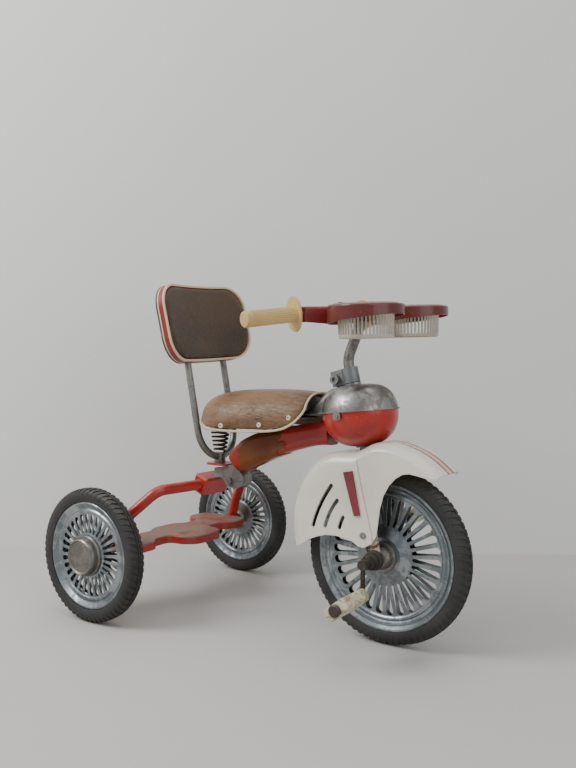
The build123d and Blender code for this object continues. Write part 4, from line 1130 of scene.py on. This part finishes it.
@dataclass
class Saddle(SoftPad):
    """Domed saddle cover with its hem piping and rivet heads."""

    crown: tuple[tuple[float, float], ...] = (
        (-0.146, 0.346), (-0.140, 0.355), (-0.128, 0.3655), (-0.108, 0.3745), (-0.085, 0.380),
        (-0.061, 0.383), (-0.020, 0.3852), (0.020, 0.3858), (0.055, 0.385), (0.086, 0.382))
    hem: tuple[tuple[float, float], ...] = (
        (-0.150, 0.346), (-0.130, 0.331), (-0.100, 0.3205), (-0.058, 0.3185), (-0.018, 0.3185),
        (0.024, 0.3205), (0.049, 0.325), (0.066, 0.334), (0.080, 0.349), (0.088, 0.366))
    rivets: tuple[tuple[float, float], ...] = ((-0.057, 0.3260), (0.011, 0.3300), (0.060, 0.3430))
    round_at: float = -0.061
    radius: float = 0.0855
    base: float = 0.308
    power: float = 2.8
    nose: float = 0.0838
    arch_faces: int = 52
    rear_steps: int = 26
    front_steps: int = 44
    piping_radius: float = 0.0019
    rivet_sides: int = 28

    def half(self, x: float) -> float:
        """Half-width of the saddle's base.

        Args:
            x: Place along the saddle.

        Returns:
            The half-width there.
        """
        if x < -0.043:
            return math.sqrt(max(self.radius ** 2 - (x - self.round_at) ** 2, 4e-6))
        return 0.0836 - 0.2145 * (x + 0.043)

    def skin(self, x: float, across: float) -> Vector:
        """Point on the cover's outer face.

        Args:
            x: Place along the saddle.
            across: -1 at the right hem, 0 on the crown, 1 at the left hem.

        Returns:
            The point.
        """
        tall = smooth_line(self.crown, x) - self.base
        rise = min(max((smooth_line(self.hem, x) - self.base) / tall, 0.0), 0.999)
        low = math.asin(rise ** (self.power / 2))
        angle = math.pi - low - (math.pi - 2 * low) * (across + 1) / 2
        wide = abs(math.cos(angle)) ** (2 / self.power)
        return Vector((x, math.copysign(self.half(x) * wide, math.cos(angle)),
                       self.base + tall * math.sin(angle) ** (2 / self.power)))

    def stations(self) -> list[float]:
        """Places along the saddle, close together at the round rear.

        Returns:
            The places, from the rear to the nose.
        """
        count = self.rear_steps
        rear = [self.round_at - self.radius * math.sin(math.pi / 2 * 0.985 * (1 - step / count))
                for step in range(count)]
        return rear + [self.round_at + (self.nose - self.round_at) * step / self.front_steps
                       for step in range(self.front_steps + 1)]

    def start(self) -> bpy.types.Mesh:
        """Open domed skin that the padding starts from.

        Returns:
            The mesh.
        """
        shape = bmesh.new()
        half = self.arch_faces // 2
        rows = [[shape.verts.new(self.skin(x, step / half - 1)) for step in range(2 * half + 1)]
                for x in self.stations()]
        for here, there in zip(rows, rows[1:]):
            for step in range(2 * half):
                shape.faces.new((here[step], here[step + 1], there[step + 1], there[step]))
        shape.faces.ensure_lookup_table()
        shape.normal_update()
        if shape.faces[len(rows) // 2 * 2 * half + half].normal.z < 0:
            bmesh.ops.reverse_faces(shape, faces=shape.faces[:])
        mesh = bpy.data.meshes.new("saddle_skin")
        shape.to_mesh(mesh)
        shape.free()
        return mesh

    def pipe(self) -> bpy.types.Object:
        """Builds the piping round the hem and over the nose.

        Returns:
            The piece.
        """
        stations = self.stations()
        path = [self.skin(x, -1) for x in reversed(stations)]
        path += [self.skin(x, 1) for x in stations]
        path += [self.skin(self.nose, 1 - step / 12) for step in range(1, 24)]
        middle = Vector((-0.03, 0, 0.36))
        path = [point + (point - middle).normalized() * 0.0003 for point in path]
        shape = bmesh.new()
        closed_tube(shape, path, self.piping_radius, 10)
        piece = new_piece("saddle_hem_piping", mesh_of(shape, "piping"), Shade.PIPING, self.body)
        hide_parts("saddle_piping")
        return piece

    def rivet_heads(self) -> bpy.types.Object:
        """Builds the six pale rivets, with painted shade in their hollow centres.

        Returns:
            The piece.
        """
        profile = ((0.0, 0.0009), (0.0011, 0.0009), (0.0014, 0.0015), (0.0022, 0.0021),
                   (0.0034, 0.0019), (0.0041, 0.0011), (0.0043, 0.0), (0.0043, -0.003))
        shape = bmesh.new()
        for side in (-1, 1):
            for x, z in self.rivets:
                tall = smooth_line(self.crown, x) - self.base
                share = (z - self.base) / tall
                wide = (1 - share ** self.power) ** (1 / self.power)
                seat = Vector((x, side * self.half(x) * wide, z))
                lean = Vector((0, side * wide ** (self.power - 1) / self.half(x),
                               share ** (self.power - 1) / tall)).normalized()
                lathe(shape, seat - lean * 0.0002, lean, profile, self.rivet_sides)
        for face in shape.faces:
            face.smooth = True
        mesh = bpy.data.meshes.new("rivets")
        bmesh.ops.recalc_face_normals(shape, faces=shape.faces[:])
        shape.to_mesh(mesh)
        shape.free()
        piece = new_piece("saddle_rivet_heads", mesh, Shade.RIVET, self.body)
        # Painted shade: the hollow's floor and inner wall get the dark pedal-cap finish.
        mesh.materials.append(Shade.DARK_CAP.material())
        each = self.rivet_sides * (len(profile) - 1)
        for index, face in enumerate(mesh.polygons):
            face.material_index = 1 if index % each < self.rivet_sides * 2 else 0
        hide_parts("saddle_rivets")
        return piece


@dataclass
class SeatSpring:
    """Conical spring, a plain copy of its stiff node."""

    node: str = "seat_spring"
    lever: float = 0.2035
    travel: float = 4.0

    def build(self) -> bpy.types.Object:
        """Builds the spring in place of its stiff node.

        Returns:
            The piece.
        """
        piece = new_piece("seat_spring_coil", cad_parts[self.node].data.copy(),
                          Shade.SPRING, "frame")
        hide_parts(self.node)
        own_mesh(piece)
        return piece


@dataclass
class FilmWrap:
    """Torn amber film round the rear half of the beam."""

    rear: float = -0.076
    ahead: float = 0.032
    gap: float = 0.0011
    crease: float = 0.0006
    thickness: float = 0.0003
    hole_level: float = 0.44
    sides: int = 56
    rings: int = 58

    def build(self) -> bpy.types.Object:
        """Wraps the beam, then tears the film's ends and holes.

        Returns:
            The piece.
        """
        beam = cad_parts["beam"].data
        tree = BVHTree.FromPolygons([vertex.co for vertex in beam.vertices],
                                    [tuple(face.vertices) for face in beam.polygons])
        shape = bmesh.new()
        rows = []
        for ring in range(self.rings):
            x = self.rear + (self.ahead - self.rear) * ring / (self.rings - 1)
            top = tree.ray_cast(Vector((x, 0, 0.5)), Vector((0, 0, -1)))[0]
            foot = tree.ray_cast(Vector((x, 0, 0.1)), Vector((0, 0, 1)))[0]
            middle = (top + foot) / 2
            row = []
            for step in range(self.sides):
                angle = math.tau * step / self.sides
                out = Vector((0, math.cos(angle), math.sin(angle)))
                hit = tree.ray_cast(middle + out * 0.09, -out)[0] or middle + out * 0.02
                crease = noise.noise(Vector((x * 40, hit.y * 90, hit.z * 90)))
                row.append(shape.verts.new(hit + out * (self.gap + self.crease * abs(crease))))
            rows.append(row)
        for here, there in zip(rows, rows[1:]):
            for step in range(self.sides):
                after = (step + 1) % self.sides
                shape.faces.new((here[step], here[after], there[after], there[step]))
        self.tear(shape)
        mesh = mesh_of(shape, "film")
        piece = new_piece("beam_film_wrap", mesh, Shade.FILM, "frame")
        thick = piece.modifiers.new("film", "SOLIDIFY")
        thick.thickness = self.thickness
        thick.offset = 0.0
        bake_modifiers(piece)
        log.info("film wrapped: %d faces", len(piece.data.polygons))
        return piece

    def tear(self, shape: bmesh.types.BMesh) -> None:
        """Takes out ragged ends and holes, then the loose scraps.

        Args:
            shape: The whole wrap.
        """
        torn = []
        for face in shape.faces:
            spot = face.calc_center_median()
            ragged = noise.fractal(spot * 46, 0.8, 2.1, 3) * 0.016
            hole = noise.noise(spot * 30 + Vector((3, 1, 7)))
            if spot.x < self.rear + 0.008 + ragged or spot.x > self.ahead - 0.014 + ragged:
                torn.append(face)
            elif hole > self.hole_level:
                torn.append(face)
        bmesh.ops.delete(shape, geom=torn, context="FACES")
        left = set(shape.faces)
        groups = []
        while left:
            grown, queue = set(), [left.pop()]
            while queue:
                face = queue.pop()
                grown.add(face)
                for edge in face.edges:
                    for other in edge.link_faces:
                        if other in left:
                            left.discard(other)
                            queue.append(other)
            groups.append(grown)
        largest = max(groups, key=len)
        scraps = [face for face in shape.faces if face not in largest]
        bmesh.ops.delete(shape, geom=scraps, context="FACES")


# ------------------------------------------------------------------ assemblies
@dataclass
class Chassis:
    """Beam, head, rear arch, step and seat mountings."""

    red: tuple[str, ...] = ("beam", "head_bowl", "rear_arch", "arch_block", "spring_plate",
                            "axle_straps")
    grey: tuple[str, ...] = ("head_tube", "back_tube", "tube_clamp", "hinge_ears", "hinge_arm",
                             "saddle_pan", "beam_bracket")
    fixings: tuple[str, ...] = ("bracket_bolt", "back_screws", "cover_tabs")

    def dress(self) -> None:
        """Puts the finishes on the frame's nodes."""
        Shade.RED.cover(*self.red)
        Shade.STEEL.cover(*self.grey)
        Shade.CHROME.cover("bowl_cover")
        Shade.STEEL.cover(*self.fixings)
        Shade.STEP.cover("step_plate")
        Shade.RUSTY.cover("rear_axle")
        log.info("chassis dressed: %d painted nodes", len(self.red) + 1)


@dataclass
class Wheels:
    """Three wheels with pressed discs, turned caps and treaded tyres."""

    front_profile: tuple[tuple[float, float], ...] = (
        (0.1146, 0.0122), (0.1164, 0.0138), (0.1205, 0.0155), (0.1265, 0.0150),
        (0.1310, 0.0128), (0.1342, 0.0094), (0.1358, 0.0050), (0.1362, 0.0012))
    rear_profile: tuple[tuple[float, float], ...] = (
        (0.0882, 0.0102), (0.0900, 0.0126), (0.0940, 0.0143), (0.0990, 0.0148),
        (0.1040, 0.0140), (0.1076, 0.0116), (0.1094, 0.0080), (0.1100, 0.0040))

    def build(self) -> None:
        """Builds the treaded tyres."""
        Tyre("front_tyre", "front_wheel", self.front_profile, 76).build()
        for side in ("right", "left"):
            Tyre("rear_" + side + "_tyre", "rear_wheel_" + side, self.rear_profile, 62).build()
        log.info("three tyres built")

    def dress(self) -> None:
        """Puts the finishes on discs, caps and axles."""
        Shade.ZINC.cover("front_disc_left", "front_disc_right")
        Shade.RUSTY.cover("front_axle")
        Shade.CAP.cover("front_hub")
        for side in ("right", "left"):
            Shade.ZINC.cover(*("rear_" + side + "_disc_" + part for part in ("outer", "inner")))
            Shade.CAP.cover("rear_" + side + "_cap")
            Shade.CAP.cover("rear_" + side + "_hub")


@dataclass
class Steering:
    """Fork, fender, stem, handlebar, grips and baskets."""

    def dress(self) -> None:
        """Puts the finishes on the steered nodes."""
        Shade.CREAM.cover("front_fender")
        Shade.REFLECTOR.cover("fender_reflectors")
        Shade.STEEL.cover("fender_bolts", "stem_tube", "collar_bolt")
        Shade.COLLAR.cover("stem_collar")
        Shade.FORK.cover("fork")
        Shade.RUSTY.cover("axle_housings")
        Shade.BAR.cover("handlebar", "bar_clips")
        Shade.GRIP.cover("grip_left", "grip_right")
        Shade.BASKET.cover("basket_left", "basket_right")
        log.info("steering dressed")


@dataclass
class Pedals:
    """Two moulded pedals with dark turned caps."""

    def dress(self) -> None:
        """Puts the finishes on the pedals."""
        Shade.PEDAL.cover("pedal_left", "pedal_right")
        Shade.DARK_CAP.cover("pedal_left_cap", "pedal_right_cap")


@dataclass
class Seating:
    """Saddle and backrest with their padding, piping and rivets."""

    def build(self) -> None:
        """Builds the soft saddle cover and the backrest's padding."""
        saddle = Saddle("saddle_cover", "seat", "brown_vinyl", Shade.SEAT, voxel=0.003,
                        cap=0.0015, wall=0.0045)
        saddle.build()
        saddle.pipe()
        saddle.rivet_heads()
        SoftPad("back_face", "frame", "brown_vinyl", Shade.BACK, voxel=0.0025, cap=0.0015).build()
        log.info("soft goods built")

    def dress(self) -> None:
        """Puts the finishes on the hard trim."""
        Shade.BAND.cover("back_pad")
        Shade.PIPING.cover("back_piping")
        Shade.SHELL.cover("back_shell")


@dataclass
class Studio:
    """Pale floor and wall, soft lights and the camera."""

    eye: tuple[float, float, float] = (0.725, -1.034, 0.419)
    yaw: float = 124.36
    pitch: float = 1.08
    roll: float = 0.73
    lens: float = 34.99
    wall_distance: float = 1.72
    wall_height: float = 1.8
    aim: tuple[float, float, float] = (0, 0, 0.25)
    sky_strength: float = 0.75
    lights: tuple[tuple[str, tuple[float, float, float], float, float], ...] = (
        ("key", (-1.15, -1.55, 1.75), 44.0, 1.1),
        ("fill", (1.9, -0.6, 1.1), 11.0, 1.6),
        ("top", (0.1, -0.2, 2.3), 16.0, 2.0))

    def build(self) -> None:
        """Builds the set, the lights and the camera."""
        self.surface("floor", Matrix.Translation((0, 0, -0.0005)), paint(196, 193, 188))
        ahead = Vector((math.cos(math.radians(self.yaw)), math.sin(math.radians(self.yaw)), 0))
        stand = Vector((self.eye[0], self.eye[1], self.wall_height)) + ahead * self.wall_distance
        turn = (-ahead).to_track_quat("Z", "Y").to_matrix().to_4x4()
        self.surface("wall", Matrix.Translation(stand) @ turn, paint(226, 225, 223), 6.0)
        for name, place, power, size in self.lights:
            lamp = bpy.data.lights.new(name, "AREA")
            lamp.energy = power
            lamp.size = size
            holder = bpy.data.objects.new(name, lamp)
            holder.location = place
            aim = Vector(self.aim) - Vector(place)
            holder.rotation_mode = "QUATERNION"
            holder.rotation_quaternion = aim.to_track_quat("-Z", "Y")
            bpy.context.scene.collection.objects.link(holder)
        world = bpy.data.worlds.new("soft_room")
        world.use_nodes = True
        sky = world.node_tree.nodes["Background"]
        sky.inputs["Color"].default_value = (*paint(214, 218, 222), 1.0)
        sky.inputs["Strength"].default_value = self.sky_strength
        bpy.context.scene.world = world
        self.camera()

    def surface(self, name: str, place: Matrix, colour: Colour, size: float = 12.0) -> None:
        """Adds a flat one-sided backdrop that is clear from behind.

        Args:
            name: Its name.
            place: Where it lies, facing along its own Z.
            colour: Its colour.
            size: Its side.
        """
        shape = bmesh.new()
        bmesh.ops.create_grid(shape, x_segments=8, y_segments=8, size=size / 2)
        mesh = mesh_of(shape, name, False)
        board = bpy.data.objects.new(name, mesh)
        board.matrix_world = place
        bpy.context.scene.collection.objects.link(board)
        material = bpy.data.materials.new(name + "_paint")
        material.use_nodes = True
        bench = NodeBench(material.node_tree)
        shader = material.node_tree.nodes["Principled BSDF"]
        tone = bench.cloud(bench.place(), 1.7, 5.0, 0.6)
        dark = tuple(level * 0.90 for level in colour)
        bench.feed(shader.inputs["Base Color"], bench.mix(tone, dark, colour))
        shader.inputs["Roughness"].default_value = 0.85
        back = bench.add("ShaderNodeNewGeometry").outputs["Backfacing"]
        bench.feed(shader.inputs["Alpha"], bench.math("SUBTRACT", 1.0, back))
        mesh.materials.append(material)

    def camera(self) -> None:
        """Adds the camera and makes it the scene's own."""
        yaw, pitch = math.radians(self.yaw), math.radians(self.pitch)
        ahead = Vector((math.cos(yaw) * math.cos(pitch), math.sin(yaw) * math.cos(pitch),
                        -math.sin(pitch)))
        data = bpy.data.cameras.new("camera")
        data.lens = self.lens
        data.sensor_width = 36.0
        data.clip_start = 0.05
        data.clip_end = 50.0
        holder = bpy.data.objects.new("camera", data)
        holder.location = self.eye
        holder.rotation_mode = "QUATERNION"
        upright = ahead.to_track_quat("-Z", "Y")
        holder.rotation_quaternion = upright @ Matrix.Rotation(
            math.radians(self.roll), 3, "Z").to_quaternion()
        bpy.context.scene.collection.objects.link(holder)
        bpy.context.scene.camera = holder


def main() -> None:
    """Builds and dresses the tricycle."""
    logging.basicConfig(level=logging.INFO, format="%(name)s: %(message)s")
    Studio().build()
    Chassis().dress()
    wheels = Wheels()
    wheels.build()
    wheels.dress()
    SeatSpring().build()
    FilmWrap().build()
    Steering().dress()
    Pedals().dress()
    seating = Seating()
    seating.build()
    seating.dress()
    log.info("sizes written")


if __name__ == "__main__":
    main()
